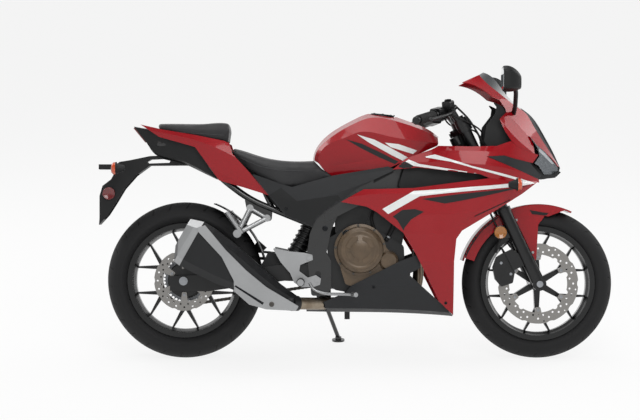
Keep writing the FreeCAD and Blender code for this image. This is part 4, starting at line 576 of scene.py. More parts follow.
def tube(points, radius, sides=10):
    """A round tube through points, with its ends closed."""
    points = [Vector(p) for p in points]
    vertices, faces = [], []
    reference = Vector((0.3, 0.2, 0.93))
    for index, point in enumerate(points):
        before, after = points[max(index - 1, 0)], points[min(index + 1, len(points) - 1)]
        ahead = (after - before).normalized()
        across = ahead.cross(reference).normalized()
        up = across.cross(ahead).normalized()
        for k in range(sides):
            angle = 2 * math.pi * k / sides
            vertices.append(point + across * (radius * math.cos(angle)) + up * (radius * math.sin(angle)))
    for index in range(len(points) - 1):
        here, there = index * sides, (index + 1) * sides
        for k in range(sides):
            n = (k + 1) % sides
            faces.append((here + k, here + n, there + n, there + k))
    faces.append(tuple(range(sides)))
    faces.append(tuple((len(points) - 1) * sides + k for k in range(sides)))
    return vertices, faces


def smooth_line(points, count):
    """Points along a smooth curve through the given ones."""
    points = [Vector(p) for p in points]
    line = []
    for index in range(count):
        t = index / (count - 1) * (len(points) - 1)
        k = min(int(t), len(points) - 2)
        f = t - k
        p0, p1, p2 = points[max(k - 1, 0)], points[k], points[k + 1]
        p3 = points[min(k + 2, len(points) - 1)]
        square, cube = 2 * p0 - 5 * p1 + 4 * p2 - p3, 3 * p1 - p0 - 3 * p2 + p3
        line.append(0.5 * (2 * p1 + (p2 - p0) * f + square * f**2 + cube * f**3))
    return line


def mirrored(part):
    """The same piece on the machine's other side."""
    vertices, faces = part
    return [Vector((v[0], -v[1], v[2])) for v in vertices], faces


def both_sides(part):
    """A piece together with its mirror image."""
    return joined([part, mirrored(part)])


def plate(near, far):
    """A flat plate between two rings of points."""
    count = len(near)
    faces = [tuple(range(count)), tuple(range(count, 2 * count))]
    faces += [(k, (k + 1) % count, count + (k + 1) % count, count + k) for k in range(count)]
    return near + far, faces


def slab(outline, y_low, y_high):
    """A flat plate with a side-view outline."""
    return plate([Vector((x, y_low, z)) for x, z in outline], [Vector((x, y_high, z)) for x, z in outline])


def screws(name, spots, finish, body, radius, height):
    """Cap screws standing at (point, direction) spots."""
    parts = [socket_screw(point, direction, radius, height) for point, direction in spots]
    soft_edges(piece(name, *joined(parts), finish, body, False, TO_ROW))


def screw_circle(centre, radius, count, first, side):
    """Spots at even steps round a centre, facing out to a side."""
    angles = [first + 2 * math.pi * k / count for k in range(count)]
    outward = Vector((0, side, 0))
    return [(Vector(centre) + radius * Vector((math.cos(a), 0, math.sin(a))), outward) for a in angles]


def mesh_copy(node_name, new_name):
    """A free copy of a CAD node's mesh, in the row frame."""
    source = nodes[node_name]
    mesh = source.data.copy()
    mesh.transform(source.matrix_world)
    thing = bpy.data.objects.new(new_name, mesh)
    bpy.context.scene.collection.objects.link(thing)
    return thing


def refinished(thing, finish, body):
    """Gives a copied mesh one finish alone, and a body to ride on."""
    thing.data.materials.clear()
    thing.data.materials.append(finish_of(finish))
    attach(thing, body)


def applied(thing):
    """Turns an object's modifiers into its mesh."""
    graph = bpy.context.evaluated_depsgraph_get()
    mesh = bpy.data.meshes.new_from_object(thing.evaluated_get(graph), depsgraph=graph)
    thing.modifiers.clear()
    thing.data = mesh


trees = {}


def surface_tree(names):
    """A search tree over some CAD nodes' surfaces."""
    key = tuple(names)
    if key not in trees:
        vertices, faces = [], []
        for name in names:
            mesh = nodes[name].data
            base = len(vertices)
            vertices += [nodes[name].matrix_world @ v.co for v in mesh.vertices]
            faces += [tuple(base + i for i in p.vertices) for p in mesh.polygons]
        trees[key] = BVHTree.FromPolygons(vertices, faces)
    return trees[key]


def seen_from_side(x, z, side, tree):
    """Where a line from the side first meets a search tree, and the way out there, in the row frame."""
    inward = row_direction(0, -side, 0)
    hit, normal, index, distance = tree.ray_cast(row(x, side * SIGHT_START, z), inward)
    if hit is None:
        return None, None
    return hit, normal if normal.dot(inward) < 0 else -normal


def touch(x, z, side, targets):
    """Where a line from the side first meets some CAD nodes, with the surface's outward direction."""
    hit, outward = seen_from_side(x, z, side, surface_tree(targets))
    if hit is None:
        raise RuntimeError("nothing to meet at %d, %d" % (x, z))
    return FROM_ROW @ hit, (FROM_ROW.to_3x3() @ outward).normalized()


def steps_between(low, high, pitch):
    """Places of even cuts between two ends, closer together than the pitch."""
    count = int((high - low) / pitch)
    return [low + (k + 1) * (high - low) / (count + 1) for k in range(count)]


def painted_shape(name, outline, targets, side, finish, lift_mm=None, pitch=7.0, body="chassis"):
    """A painted area: a side-view outline laid on the panels, cut small enough to follow their surface."""
    lift = lift_mm if lift_mm is not None else bpy.context.scene.bike_bodywork.stripe_lift
    grid = bmesh.new()
    grid.faces.new([grid.verts.new((x, 0, z)) for x, z in outline])
    bmesh.ops.triangulate(grid, faces=grid.faces)
    xs, zs = [p[0] for p in outline], [p[1] for p in outline]
    cuts = [(Vector((x, 0, 0)), Vector((1, 0, 0))) for x in steps_between(min(xs), max(xs), pitch)]
    cuts += [(Vector((0, 0, z)), Vector((0, 0, 1))) for z in steps_between(min(zs), max(zs), pitch)]
    for point, normal in cuts:
        geometry = grid.verts[:] + grid.edges[:] + grid.faces[:]
        bmesh.ops.bisect_plane(grid, geom=geometry, plane_co=point, plane_no=normal, dist=0.01)
    tree = surface_tree(targets)
    lost = []
    for vertex in grid.verts:
        hit, outward = seen_from_side(vertex.co.x, vertex.co.z, side, tree)
        if hit is None:
            lost.append(vertex)
        else:
            vertex.co = hit + outward * lift * MM
    bmesh.ops.delete(grid, geom=lost, context="VERTS")
    if not grid.faces:
        raise RuntimeError(name + " met no panel")
    # A face much longer than the pitch spans a gap between panels
    long_faces = [f for f in grid.faces if max(e.calc_length() for e in f.edges) > 4.5 * pitch * MM]
    bmesh.ops.delete(grid, geom=long_faces, context="FACES")
    mesh = bpy.data.meshes.new(name)
    bmesh.ops.recalc_face_normals(grid, faces=grid.faces)
    grid.to_mesh(mesh)
    grid.free()
    riding(name, mesh, finish, body)


def dress(names, finish):
    """Gives CAD nodes their finish; their shapes stay as they are."""
    for name in names:
        slots = nodes[name].material_slots
        if not slots:
            raise RuntimeError(name + " has no material slot")
        for slot in slots:
            slot.material = finish_of(finish)


def background_rays(tree):
    """One for rays that meet the white background: the camera's, mirrored ones and those through glass."""
    ray = add(tree, "ShaderNodeLightPath").outputs
    either = {"operation": "MAXIMUM"}
    seen = add(tree, "ShaderNodeMath", either, {0: ray["Is Camera Ray"], 1: ray["Is Glossy Ray"]})
    seen = add(tree, "ShaderNodeMath", either, {0: seen.outputs["Value"], 1: ray["Is Transmission Ray"]})
    return seen.outputs["Value"]


# Operators

class BIKE_OT_dress_nodes(Operator):
    """Give every rigid CAD piece its real finish"""
    bl_idname = "bike.dress_nodes"
    bl_label = "Finish the CAD pieces"

    def execute(self, context):
        wanted = {
            "red": ["front_fender", "fuel_tank", "tail_cowl", "fairing_left", "fairing_right", "front_cowl"],
            "wheel": ["front_rim", "rear_rim"],
            "front_disc": ["front_disc"],
            "rear_disc": ["rear_disc"],
            "zinc": ["rear_sprocket", "front_axle", "rear_axle"],
            "dark_steel": ["chain"],
            "casting": [
                "fork_legs", "yokes", "handlebars", "front_caliper", "rear_caliper", "engine_block",
                "swingarm", "rear_shock",
            ],
            "rubber": ["brake_hose"],
            "bronze": ["clutch_cover", "alternator_cover"],
            "core": ["radiator"],
            "exhaust": ["exhaust_pipes"],
            "muffler": ["muffler"],
            "silver": ["muffler_trim", "rider_steps", "pillion_steps"],
            "frame": ["frame", "subframe", "cowl_stay", "side_stand"],
            "black_plastic": [
                "chain_guard", "tail_undertray", "rear_fender", "dash", "inner_panels", "mirrors",
                "rear_signals", "front_signals",
            ],
            "grey_plastic": ["side_covers", "nose_panels", "belly_pan"],
            "seat": ["rider_seat", "pillion_seat"],
            "ruby": ["tail_lamp"],
            "screen": ["windscreen"],
            "cap": ["fuel_cap"],
            "lamp_body": ["headlamps"],
            "front_tyre": ["front_tyre"],
            "rear_tyre": ["rear_tyre"],
        }
        for finish, names in wanted.items():
            dress(names, finish)
        plain = set(nodes) - {n for names in wanted.values() for n in names}
        if plain:
            raise RuntimeError("no finish for " + ", ".join(sorted(plain)))
        return {"FINISHED"}


def tyre_section(radius, width, crown, bead_half):
    """A tyre's section as (radius, along) points, from bead to bead over a round tread."""
    angles = [TREAD_ARC * k / 14 for k in range(15)]
    half = [(radius - crown + crown * math.cos(a), crown * math.sin(a)) for a in angles]
    wall = 0.4 * radius + 0.6 * BEAD_RADIUS
    half += [(wall + 6, width / 2 - 0.6), (wall, width / 2), (wall - 7, width / 2 - 0.8)]
    half += [(BEAD_RADIUS + 16.5, bead_half + 5.5), (BEAD_RADIUS + 13.5, bead_half + 1.6)]
    half += [(BEAD_RADIUS + 11.6, bead_half - 0.3), (BEAD_RADIUS + 3, bead_half - 0.3)]
    return [(r, -y) for r, y in reversed(half[1:])] + half


def across_tread(y, crown):
    """How far a point lies across the tread: 0 in its middle, 1 at its edge, 1.2 on the wall beyond it."""
    if abs(y) > crown * 0.883:
        return math.copysign(1.2, y)
    return math.asin(y / crown) / TREAD_ARC


def unroll(thing, section, crown, steps):
    """Texture places on a tyre: turns along the tread, then how far across it."""
    layer = thing.data.uv_layers.new(name="around")
    across = [across_tread(y, crown) for r, y in section]
    loops = thing.data.loops
    for polygon in thing.data.polygons:
        turns = [loops[i].vertex_index // len(section) for i in polygon.loop_indices]
        wraps = max(turns) - min(turns) > 1
        for i, turn in zip(polygon.loop_indices, turns):
            u = (turn + (steps if wraps and turn == 0 else 0)) / steps
            layer.data[i].uv = (u, across[loops[i].vertex_index % len(section)])


class BIKE_OT_tyres(Operator):
    """Lay treaded tyres over the plain ones"""
    bl_idname = "bike.tyres"
    bl_label = "Tyres"

    def execute(self, context):
        steps = 180
        front = (FRONT_RADIUS, FRONT_WIDTH, FRONT_CROWN, FRONT_BEAD_HALF)
        rear = (REAR_RADIUS, REAR_WIDTH, REAR_CROWN, REAR_BEAD_HALF)
        for name, centre, sizes in (
            ("front", (WHEELBASE, 0, FRONT_AXLE_Z), front), ("rear", (0, 0, REAR_RADIUS), rear),
        ):
            section = tyre_section(*sizes)
            around = revolve(section, steps, TO_ROW @ axis_at(centre, (0, 1, 0)))
            thing = piece(name + "_treaded_tyre", *around, name + "_tyre", name + "_wheel")
            unroll(thing, section, sizes[2], steps)
            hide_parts(name + "_tyre")
        return {"FINISHED"}


class BIKE_OT_chain(Operator):
    """Replace the chain's plain band by its links"""
    bl_idname = "bike.chain"
    bl_label = "Chain"

    def execute(self, context):
        big = CHAIN_PITCH / (2 * math.sin(math.pi / REAR_TEETH))
        small = CHAIN_PITCH / (2 * math.sin(math.pi / FRONT_TEETH))
        span = DRIVE_SHAFT
        tilt, lag = math.atan2(span.y, span.x), math.acos((big - small) / span.length)
        run = math.sqrt(span.length**2 - (big - small) ** 2)

        def heading(angle):
            return Vector((math.cos(angle), math.sin(angle)))

        def across(angle):
            return Vector((-math.sin(angle), math.cos(angle)))

        rear_arc, front_arc = 2 * (math.pi - lag) * big, 2 * lag * small
        total = rear_arc + front_arc + 2 * run
        links = 2 * round(total / CHAIN_PITCH / 2)
        step = total / links

        def pin(distance):
            """A place along the loop: lower run, front sprocket, upper run, rear sprocket."""
            low, high = tilt - lag, tilt + lag
            if distance < run:
                return big * heading(low) + distance * across(low)
            distance -= run
            if distance < front_arc:
                return span + small * heading(low + distance / small)
            distance -= front_arc
            if distance < run:
                return span + small * heading(high) + distance * across(high)
            return big * heading(high + (distance - run) / big)

        pins = [pin(index * step) for index in range(links)]
        parts = []
        for index, here in enumerate(pins):
            there = pins[(index + 1) % links]
            ahead = (there - here).normalized()
            side = Vector((-ahead.y, ahead.x))
            ring = []
            for k in range(16):
                a = 2 * math.pi * k / 16
                end = there if math.cos(a) > 0 else here
                # The plates are waisted between their two round ends
                reach = 7.2 if abs(math.cos(a)) > 0.15 else 5.2
                ring.append(end + ahead * (reach * math.cos(a)) + side * (reach * math.sin(a)))
            for low, high in OUTER_PLATES if index % 2 == 0 else INNER_PLATES:
                parts.append(slab([(p.x, REAR_RADIUS + p.y) for p in ring], CHAIN_Y + low, CHAIN_Y + high))
            axis = axis_at((here.x, CHAIN_Y, REAR_RADIUS + here.y), (0, 1, 0))
            parts.append(revolve([(0.01, -5), (4.9, -5), (4.9, 5), (0.01, 5)], 10, axis))
            parts.append(revolve([(0.01, -7), (2.4, -7), (2.4, 7), (0.01, 7)], 8, axis))
        thing = piece("drive_chain_links", *joined(parts), "dark_steel", "chassis", False, TO_ROW)
        soft_edges(thing)
        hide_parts("chain")
        return {"FINISHED"}


class BIKE_OT_seats(Operator):
    """Upholster both seats over their foam"""
    bl_idname = "bike.seats"
    bl_label = "Seats"

    def execute(self, context):
        for name, voxel in (("rider_seat", 0.006), ("pillion_seat", 0.005)):
            thing = mesh_copy(name, name + "_cover")
            remesh = thing.modifiers.new("foam", "REMESH")
            remesh.mode, remesh.voxel_size = "VOXEL", voxel
            ease = thing.modifiers.new("ease", "SMOOTH")
            ease.factor, ease.iterations = 0.5, 4
            swell = thing.modifiers.new("swell", "DISPLACE")
            swell.strength, swell.mid_level = context.scene.bike_seats.crown * MM, 0.0
            applied(thing)
            if name == "rider_seat":
                # The nose is drawn forward until it meets the tank
                for vertex in thing.data.vertices:
                    spot = FROM_ROW @ vertex.co
                    spot.x += 8 * min(max((spot.x - 440) / 70, 0), 1)
                    vertex.co = TO_ROW @ spot
            for polygon in thing.data.polygons:
                polygon.use_smooth = True
            refinished(thing, "seat", "chassis")
            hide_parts(name)
        seams = (
            ("rider_seat", [(226, 800), (256, 786), (312, 764), (384, 750), (470, 748), (530, 744)]),
            ("pillion_seat", [(-78, 910), (-40, 906), (40, 899), (110, 893), (160, 890)]),
        )
        for name, points in seams:
            parts = []
            for side in (-1, 1):
                line = smooth_line([Vector((x, 0, z)) for x, z in points], 46)
                spots = [touch(p.x, p.z, side, [name]) for p in line]
                raised = [point + direction * 2.6 for point, direction in spots]
                parts.append(tube(raised, 1.9, 8))
            piece(name + "_piping", *joined(parts), "thread", "chassis", True, TO_ROW)
        return {"FINISHED"}


GRAPHICS = (
    # name, finish, CAD nodes' stem, outline in the side view
    ("tank_stripe_long", "white", "fuel_tank", [
        (686, 892), (755, 871), (810, 843), (850, 821), (887, 800), (866, 788), (823, 810), (733, 860),
    ]),
    ("tank_stripe_short", "white", "fuel_tank", [(796, 859), (850, 853), (923, 828), (907, 814), (819, 841)]),
    ("tank_graphic", "graphite", "fuel_tank", [
        (642, 873), (706, 855), (789, 816), (850, 784), (836, 774), (773, 802), (698, 840),
    ]),
    ("upper_stripe_thin", "white", "fairing", [
        (876, 783), (889, 791), (930, 774), (1171, 734), (1167, 730), (908, 766),
    ]),
    ("upper_graphic", "graphite", "fairing", [
        (838, 775), (876, 783), (908, 766), (924, 756), (885, 752), (850, 762),
    ]),
    ("upper_stripe", "white", "fairing", [
        (955, 803), (991, 811), (1135, 766), (1270, 733), (1394, 699), (1338, 709), (1316, 711), (1167, 750),
        (1057, 781), (955, 799),
    ]),
    ("lower_stripe", "white", "fairing", [
        (1394, 699), (1338, 709), (1317, 700), (1236, 692), (1045, 676), (906, 667), (784, 597), (807, 577),
        (930, 647), (1045, 660), (1238, 678), (1315, 685),
    ]),
    ("lower_graphic", "graphite", "fairing", [
        (937, 636), (1090, 656), (1243, 672), (1369, 690), (1180, 647), (1090, 629), (1027, 618),
    ]),
    ("lower_graphic_tail", "graphite", "fairing", [
        (825, 568), (861, 593), (910, 597), (946, 586), (897, 557), (872, 526), (867, 512), (843, 552),
    ]),
    # Black over the lower part of each side cover: painted shade under a crease that faces down
    ("side_cover_painted_shade", "black_plastic", "side_covers", [
        (334, 605), (340, 652), (386, 681), (449, 628), (611, 652), (635, 617), (532, 548), (502, 526),
        (437, 553),
    ]),
    # The seam and the slot are painted near black: painted shade in the gaps
    ("fairing_seam_shade", "seam", "fairing", [(1144, 566), (1288, 631), (1288, 635), (1144, 570)]),
    ("fender_edge", "black_plastic", "front_fender", [
        (1228, 583), (1254, 565), (1187, 511), (1143, 448), (1119, 398), (1092, 402), (1121, 468),
        (1170, 537),
    ]),
    ("fender_slot_shade", "seam", "front_fender", [(1375, 593), (1451, 580), (1441, 571), (1385, 576)]),
)


class BIKE_OT_paintwork(Operator):
    """Paint the stripes, the dark graphics and the painted shade under a crease and in gaps on both sides"""
    bl_idname = "bike.paintwork"
    bl_label = "Paintwork"

    def execute(self, context):
        for side, word in SIDES:
            for name, finish, stem, outline in GRAPHICS:
                target = stem + "_" + word if stem == "fairing" else stem
                body = "fork" if stem == "front_fender" else "chassis"
                painted_shape(name + "_" + word, outline, [target], side, finish, body=body)
        return {"FINISHED"}


class BIKE_OT_lamps(Operator):
    """Fit the signals' lenses, the headlamps' glass and projectors, and the reflectors"""
    bl_idname = "bike.lamps"
    bl_label = "Lamps and reflectors"

    def execute(self, context):
        dome = [(24.8, -4), (24.8, 0), (23.8, 5), (20, 10), (12, 13.2), (0.01, 14.4)]
        bezel = [(24.2, -9), (25.4, -8.5), (25.6, -4.5), (24.4, -4)]
        for name, x, y, z, ahead in (("front", 1314, 258, 692, 1), ("rear", -270, 158, 757, -1)):
            for side, word in SIDES:
                matrix = axis_at((x, side * y, z), (ahead, 0, 0))
                cover, ring = revolve(dome, 32, matrix), revolve(bezel, 32, matrix, True)
                piece("%s_signal_lens_%s" % (name, word), *cover, "orange", "chassis", True, TO_ROW)
                bezel_name = "%s_signal_bezel_%s" % (name, word)
                soft_edges(piece(bezel_name, *ring, "black_plastic", "chassis", False, TO_ROW))
        shell = mesh_copy("headlamps", "headlamp_glass")
        swell = shell.modifiers.new("skin", "DISPLACE")
        swell.strength, swell.mid_level = 0.0009, 0.0
        applied(shell)
        refinished(shell, "clear", "chassis")
        angles = [math.pi * k / 9 for k in range(18)]
        bowl = [(1401 + 15 * math.cos(a), 757 + 12 * math.sin(a)) for a in angles]
        strip = [(1412, 838), (1440, 816), (1476, 778), (1468, 776), (1434, 806), (1410, 826)]
        reflector = [(23, -3), (25, -2.4), (25, 3), (23.5, 5), (22, 5.2), (21, 4.2), (0.01, 4.2)]
        back = [(25, -4.5), (27, -4), (27, 1.5), (25.2, 2)]
        bracket = [(1236, 492), (1262, 478), (1306, 486), (1318, 512), (1296, 526), (1240, 520)]
        for side, word in SIDES:
            painted_shape("projector_" + word, bowl, ["headlamps"], side, "projector", 0.3, 6)
            painted_shape("lamp_light_guide_" + word, strip, ["headlamps"], side, "chrome", 0.3, 6)
            matrix = axis_at((1256, side * 112, 504), (0, side, 0))
            piece("fork_reflector_" + word, *revolve(reflector, 32, matrix), "amber", "fork", True, TO_ROW)
            holder = joined([revolve(back, 32, matrix, True), slab(bracket, side * 103.5, side * 108)])
            soft_edges(piece("fork_reflector_bracket_" + word, *holder, "casting", "fork", False, TO_ROW))
            matrix = axis_at((-304, side * 50.2, 659), (0, side, 0))
            piece("tail_reflector_" + word, *revolve(reflector, 32, matrix), "ruby", "chassis", True, TO_ROW)
        return {"FINISHED"}


class BIKE_OT_controls(Operator):
    """Fit grips, bar ends, lever balls, cables, the lock, mirror glass, the display and footrest rubbers"""
    bl_idname = "bike.controls"
    bl_label = "Controls"

    def execute(self, context):
        top = TO_FORK @ Vector((0, 0, FORK_LENGTH))
        inner, outer = top + BAR_INNER, top + BAR_OUTER
        along = (outer - inner).normalized()
        length = (outer - inner).length
        grip = [(17.2, length - 128)]
        for k in range(18):
            start = length - 124 + k * 6.5
            grip += [(17.4, start), (18.9, start + 1), (18.9, start + 4.4), (17.4, start + 5.4)]
        grip.append((17.2, length - 6))
        weight = [(14.4, length - 5), (16, length - 3), (16.4, length + 10), (14, length + 15)]
        weight.append((0.01, length + 15.4))
        matrix = axis_at(inner, along)
        for profile, name, finish in ((grip, "grips", "rubber"), (weight, "bar_ends", "casting")):
            pair = both_sides(revolve(profile, 24, matrix))
            soft_edges(piece(name, *pair, finish, "fork", False, TO_ROW), 50)
        forward = along.cross(Vector((0, 0, 1))).normalized()
        up = forward.cross(along).normalized()
        ball = [(0.01, -8.5), (5, -7), (8, -3), (8.6, 0), (8, 3), (5, 7), (0.01, 8.5)]
        tip = inner + along * (length - 4) + forward * 58
        pair = both_sides(revolve(ball, 16, axis_at(tip, along)))
        piece("lever_balls", *pair, "casting", "fork", True, TO_ROW)
        # The reservoir sits on the right grip's side only
        cap_centre = inner + along * (length - 208) + forward * 26 + up * 44.2
        cap_centre.y = -cap_centre.y
        lid = revolve([(0.01, 5), (13, 5), (15, 3.4), (15.4, -0.5)], 6, axis_at(cap_centre, up))
        piece("reservoir_lid", *lid, "casting", "fork", False, TO_ROW)

        # Each cable leaves its control, passes ahead of the bar and goes down between the yokes
        start = inner + along * (length - 214) + forward * 30 - up * 10
        bend = start + forward * 22 - up * 34 - along * 16
        low, end = TO_FORK @ Vector((52, 96, 650)), TO_FORK @ Vector((30, 62, 560))
        line = smooth_line([start, bend, low, end], 22)
        piece("clutch_cable", *tube(line, 3.4), "rubber", "fork", True, TO_ROW)
        start = inner + along * (length - 168) + forward * 18 - up * 10
        bend = start - along * 58 + forward * 16 - up * 8
        start.y, bend.y = -start.y, -bend.y
        low, end = TO_FORK @ Vector((54, -84, 650)), TO_FORK @ Vector((30, -40, 590))
        line = smooth_line([start, bend, low, end], 22)
        piece("throttle_cable", *tube(line, 3.2), "rubber", "fork", True, TO_ROW)
        barrel = [(16, -2), (18, 0), (18, 12), (15, 14), (6, 14), (5, 12), (0.01, 12)]
        lock = revolve(barrel, 24, TO_FORK @ Matrix.Translation((20, 0, 690)))
        piece("ignition_lock", *lock, "casting", "fork", True, TO_ROW)

        corners = [(-62, -34), (-66, 22), (-30, 42), (40, 46), (62, 30), (58, -40), (0, -50)]
        flat, faces = slab([(y * 0.9, z * 0.88) for y, z in corners], -0.6, 0.6)
        for side, word in SIDES:
            vertices = [Vector((1245.2 + v.y, side * (310 + v.x), 1102 + v.z)) for v in flat]
            piece("mirror_glass_" + word, vertices, faces, "mirror", "chassis", False, TO_ROW)

        rise = Vector((38, 0, 58)).normalized()
        back = Vector((-58, 0, 38)).normalized()
        foot = Vector((1226, 0, 950))
        screen = [(-58, 12), (-62, 20), (-60, 52), (-48, 60), (48, 60), (60, 52), (62, 20), (58, 12)]
        front = [foot + rise * v + Vector((0, u, 0)) + back * 1.4 for u, v in screen]
        rear = [foot + rise * v + Vector((0, u, 0)) - back * 4 for u, v in screen]
        piece("instrument_display", *plate(front, rear), "display", "chassis", False, TO_ROW)

        rings = [(13.2, 0)]
        for k in range(9):
            start = 4 + k * 9
            rings += [(13.4, start), (15.6, start + 1.5), (15.6, start + 6), (13.4, start + 7.5)]
        pair = both_sides(revolve(rings, 16, axis_at((464, 162, 310), (0, 1, 0))))
        soft_edges(piece("footrest_rubbers", *pair, "rubber", "chassis", False, TO_ROW), 50)
        return {"FINISHED"}


class BIKE_OT_fasteners(Operator):
    """Set the screws of the panels, covers, discs and brackets"""
    bl_idname = "bike.fasteners"
    bl_label = "Fasteners"

    def execute(self, context):
        panel = []
        for side, word in SIDES:
            panel.append(touch(1036, 226, side, ["fairing_" + word]))
            panel += [touch(407, 598, side, ["side_covers"]), touch(751, 290, side, ["belly_pan"])]
        screws("panel_screws", panel, "bolt", "chassis", 6.0, 2.6)
        fender = []
        for side in (-1, 1):
            fender += [touch(x, z, side, ["front_fender"]) for x, z in ((1322, 553), (1388, 424))]
        screws("fender_screws", fender, "silver", "fork", 5.5, 3.4)
        cover = screw_circle(CLUTCH_CENTRE + Vector((0, -163.6, 0)), 97, 9, 0.25, -1)
        cover += screw_circle(ALTERNATOR_CENTRE + Vector((0, 151.5, 0)), 79, 7, 0.0, 1)
        screws("cover_screws", cover, "dark_steel", "chassis", 5.0, 4.5)
        for body, centre, radius in (
            ("front_wheel", (WHEELBASE, -65.5, FRONT_AXLE_Z), 106),
            ("rear_wheel", (0, -82.5, REAR_RADIUS), 56),
        ):
            spots = screw_circle(centre, radius, 6, math.radians(30), -1)
            screws(body + "_disc_screws", spots, "zinc", body, 6.0, 1.4)
        holes = [TO_FORK @ Vector((ahead, 0, height)) for ahead, height in ((-84, 84), (-100, 140))]
        caliper = [touch(hole.x, hole.z, -1, ["front_caliper"]) for hole in holes]
        screws("caliper_screws", caliper, "zinc", "fork", 6.0, 4.0)
        # The lid leans forward with the top of the tank, by 11 in 100
        up = Vector((11, 0, 100)).normalized()
        lid = Vector((790, 0, 967)) + up * 9.8
        angles = [math.radians(60 * k + 30) for k in range(6)]
        ring = [(lid + 38 * Vector((math.cos(a), math.sin(a), -0.11 * math.cos(a))), up) for a in angles]
        screws("cap_screws", ring, "zinc", "fuel_cap", 4.0, 2.2)
        return {"FINISHED"}


class BIKE_OT_mechanical(Operator):
    """Fit the damper's spring, the clutch cover's face, liners and lugs, the valves and the coolant hoses"""
    bl_idname = "bike.mechanical"
    bl_label = "Mechanical details"

    def execute(self, context):
        low, high = Vector((424, 0, 385.3)), Vector((531.6, 0, 577.8))
        frame_of = axis_at(low, high - low)
        reach = (high - low).length
        turns, steps = 7, 16
        helix = []
        # The coil starts 36 mm above the lower eye and ends 40 mm below the upper one
        for k in range(turns * steps + 1):
            a = 2 * math.pi * k / steps
            rise = 36 + (reach - 36 - 40) * k / (turns * steps)
            helix.append(frame_of @ Vector((33.5 * math.cos(a), 33.5 * math.sin(a), rise)))
        piece("damper_spring", *tube(helix, 5.2, 8), "spring", "chassis", True, TO_ROW)

        axis = axis_at(CLUTCH_CENTRE + Vector((0, -197.6, 0)), (0, -1, 0))
        rings = [(77, -6), (77, 1.0), (75, 2.0), (66, 2.0), (64, 0.3), (60, 0.3), (58, 2.2), (0.01, 2.2)]
        piece("clutch_cover_face", *revolve(rings, 48, axis), "bronze", "chassis", True, TO_ROW)
        corners = ((40, -0.6), (56, -0.6), (58, 0), (56, 0.6), (40, 0.6), (38, 0))
        bosses = []
        for k in range(4):
            a = math.pi * (0.25 + 0.5 * k)
            wedge = [
                (CLUTCH_CENTRE.x + r * math.cos(a + turn), CLUTCH_CENTRE.z + r * math.sin(a + turn))
                for r, turn in corners
            ]
            bosses.append(slab(wedge, -201.2, -197))
        piece("clutch_cover_bosses", *joined(bosses), "bronze", "chassis", False, TO_ROW)
        plug = [(15.6, -12), (15.6, 2), (13, 4), (8, 4), (7, 2.4), (0.01, 2.4)]
        port = revolve(plug, 24, axis_at((646, -186, 500), (0, -1, 0)))
        piece("oil_filler", *port, "bolt", "chassis", True, TO_ROW)

        shield = [(206, 296), (212, 300), (322, 232), (316, 224)]
        piece("heat_shield_slot", *slab(shield, -256.4, -250), "bolt", "chassis", False, TO_ROW)
        shield_spot = (Vector((352, -255.2, 226)), Vector((0, -1, 0)))
        screws("heat_shield_screw", [shield_spot], "dark_steel", "chassis", 10.0, 5.0)
        pivots = []
        for side in (-1, 1):
            outward = Vector((0, side, 0))
            pivots += [(Vector((x, side * 141.2, z)), outward) for x, z in ((532, 327), (560, 520))]
        screws("frame_bolts", pivots, "bolt", "chassis", 11.0, 5.0)
        liner = [(196, 824), (214, 786), (262, 738), (330, 664), (352, 664), (300, 760), (226, 812)]
        pair = both_sides(slab(liner, 80, 84))
        piece("seat_base_liners", *pair, "black_plastic", "chassis", False, TO_ROW)
        pan = [
            (212, 762), (270, 726), (340, 690), (440, 684), (590, 690), (590, 686), (440, 680), (338, 686),
            (268, 722), (210, 758),
        ]
        piece("seat_pan", *slab(pan, -124, 124), "black_plastic", "chassis", False, TO_ROW)
        # Plain plates close the view between the panels and carry what would hang free
        backing = (
            ("side_cover_liners", [(712, 706), (816, 762), (832, 742), (728, 686)], 144, 146.5),
            ("tank_brackets", [(812, 738), (812, 774), (858, 784), (862, 744)], 58, 62),
            ("tail_liners", [(322, 662), (346, 668), (398, 588), (380, 584)], 95, 98),
            ("gearbox_lugs", [(572, 380), (572, 526), (612, 526), (612, 380)], 2, 40),
        )
        for name, outline, low, high in backing:
            pair = both_sides(slab(outline, low, high))
            piece(name, *pair, "black_plastic", "chassis", False, TO_ROW)

        stem = [(4.2, 6), (4.2, -10), (3, -12), (3, -30), (0.01, -31)]
        for body, centre, a in (
            ("front_wheel", (WHEELBASE, 0, FRONT_AXLE_Z), 2.2), ("rear_wheel", (0, 0, REAR_RADIUS), 0.9),
        ):
            outward = Vector((math.cos(a), 0, math.sin(a)))
            foot = Vector(centre) + outward * (BEAD_RADIUS - 10)
            piece(body + "_valve", *revolve(stem, 12, axis_at(foot, outward)), "rubber", body, True, TO_ROW)

        hoses = (
            ([(812, -96, 640), (840, -118, 600), (836, -122, 540), (800, -120, 470)], 9.0),
            ([(760, -100, 610), (744, -120, 560), (762, -118, 500)], 6.0),
            ([(800, 96, 640), (834, 120, 590), (820, 124, 520)], 9.0),
        )
        pipes, clips = [], []
        for points, radius in hoses:
            line = smooth_line(points, 20)
            pipes.append(tube(line, radius, 12))
            band = [(radius + 0.4, -3), (radius + 1.4, -3), (radius + 1.4, 3), (radius + 0.4, 3)]
            for k in (2, 17):
                clips.append(revolve(band, 20, axis_at(line[k], line[k + 1] - line[k - 1]), True))
        piece("coolant_hoses", *joined(pipes), "rubber", "chassis", True, TO_ROW)
        piece("hose_clips", *joined(clips), "zinc", "chassis", False, TO_ROW)
        return {"FINISHED"}


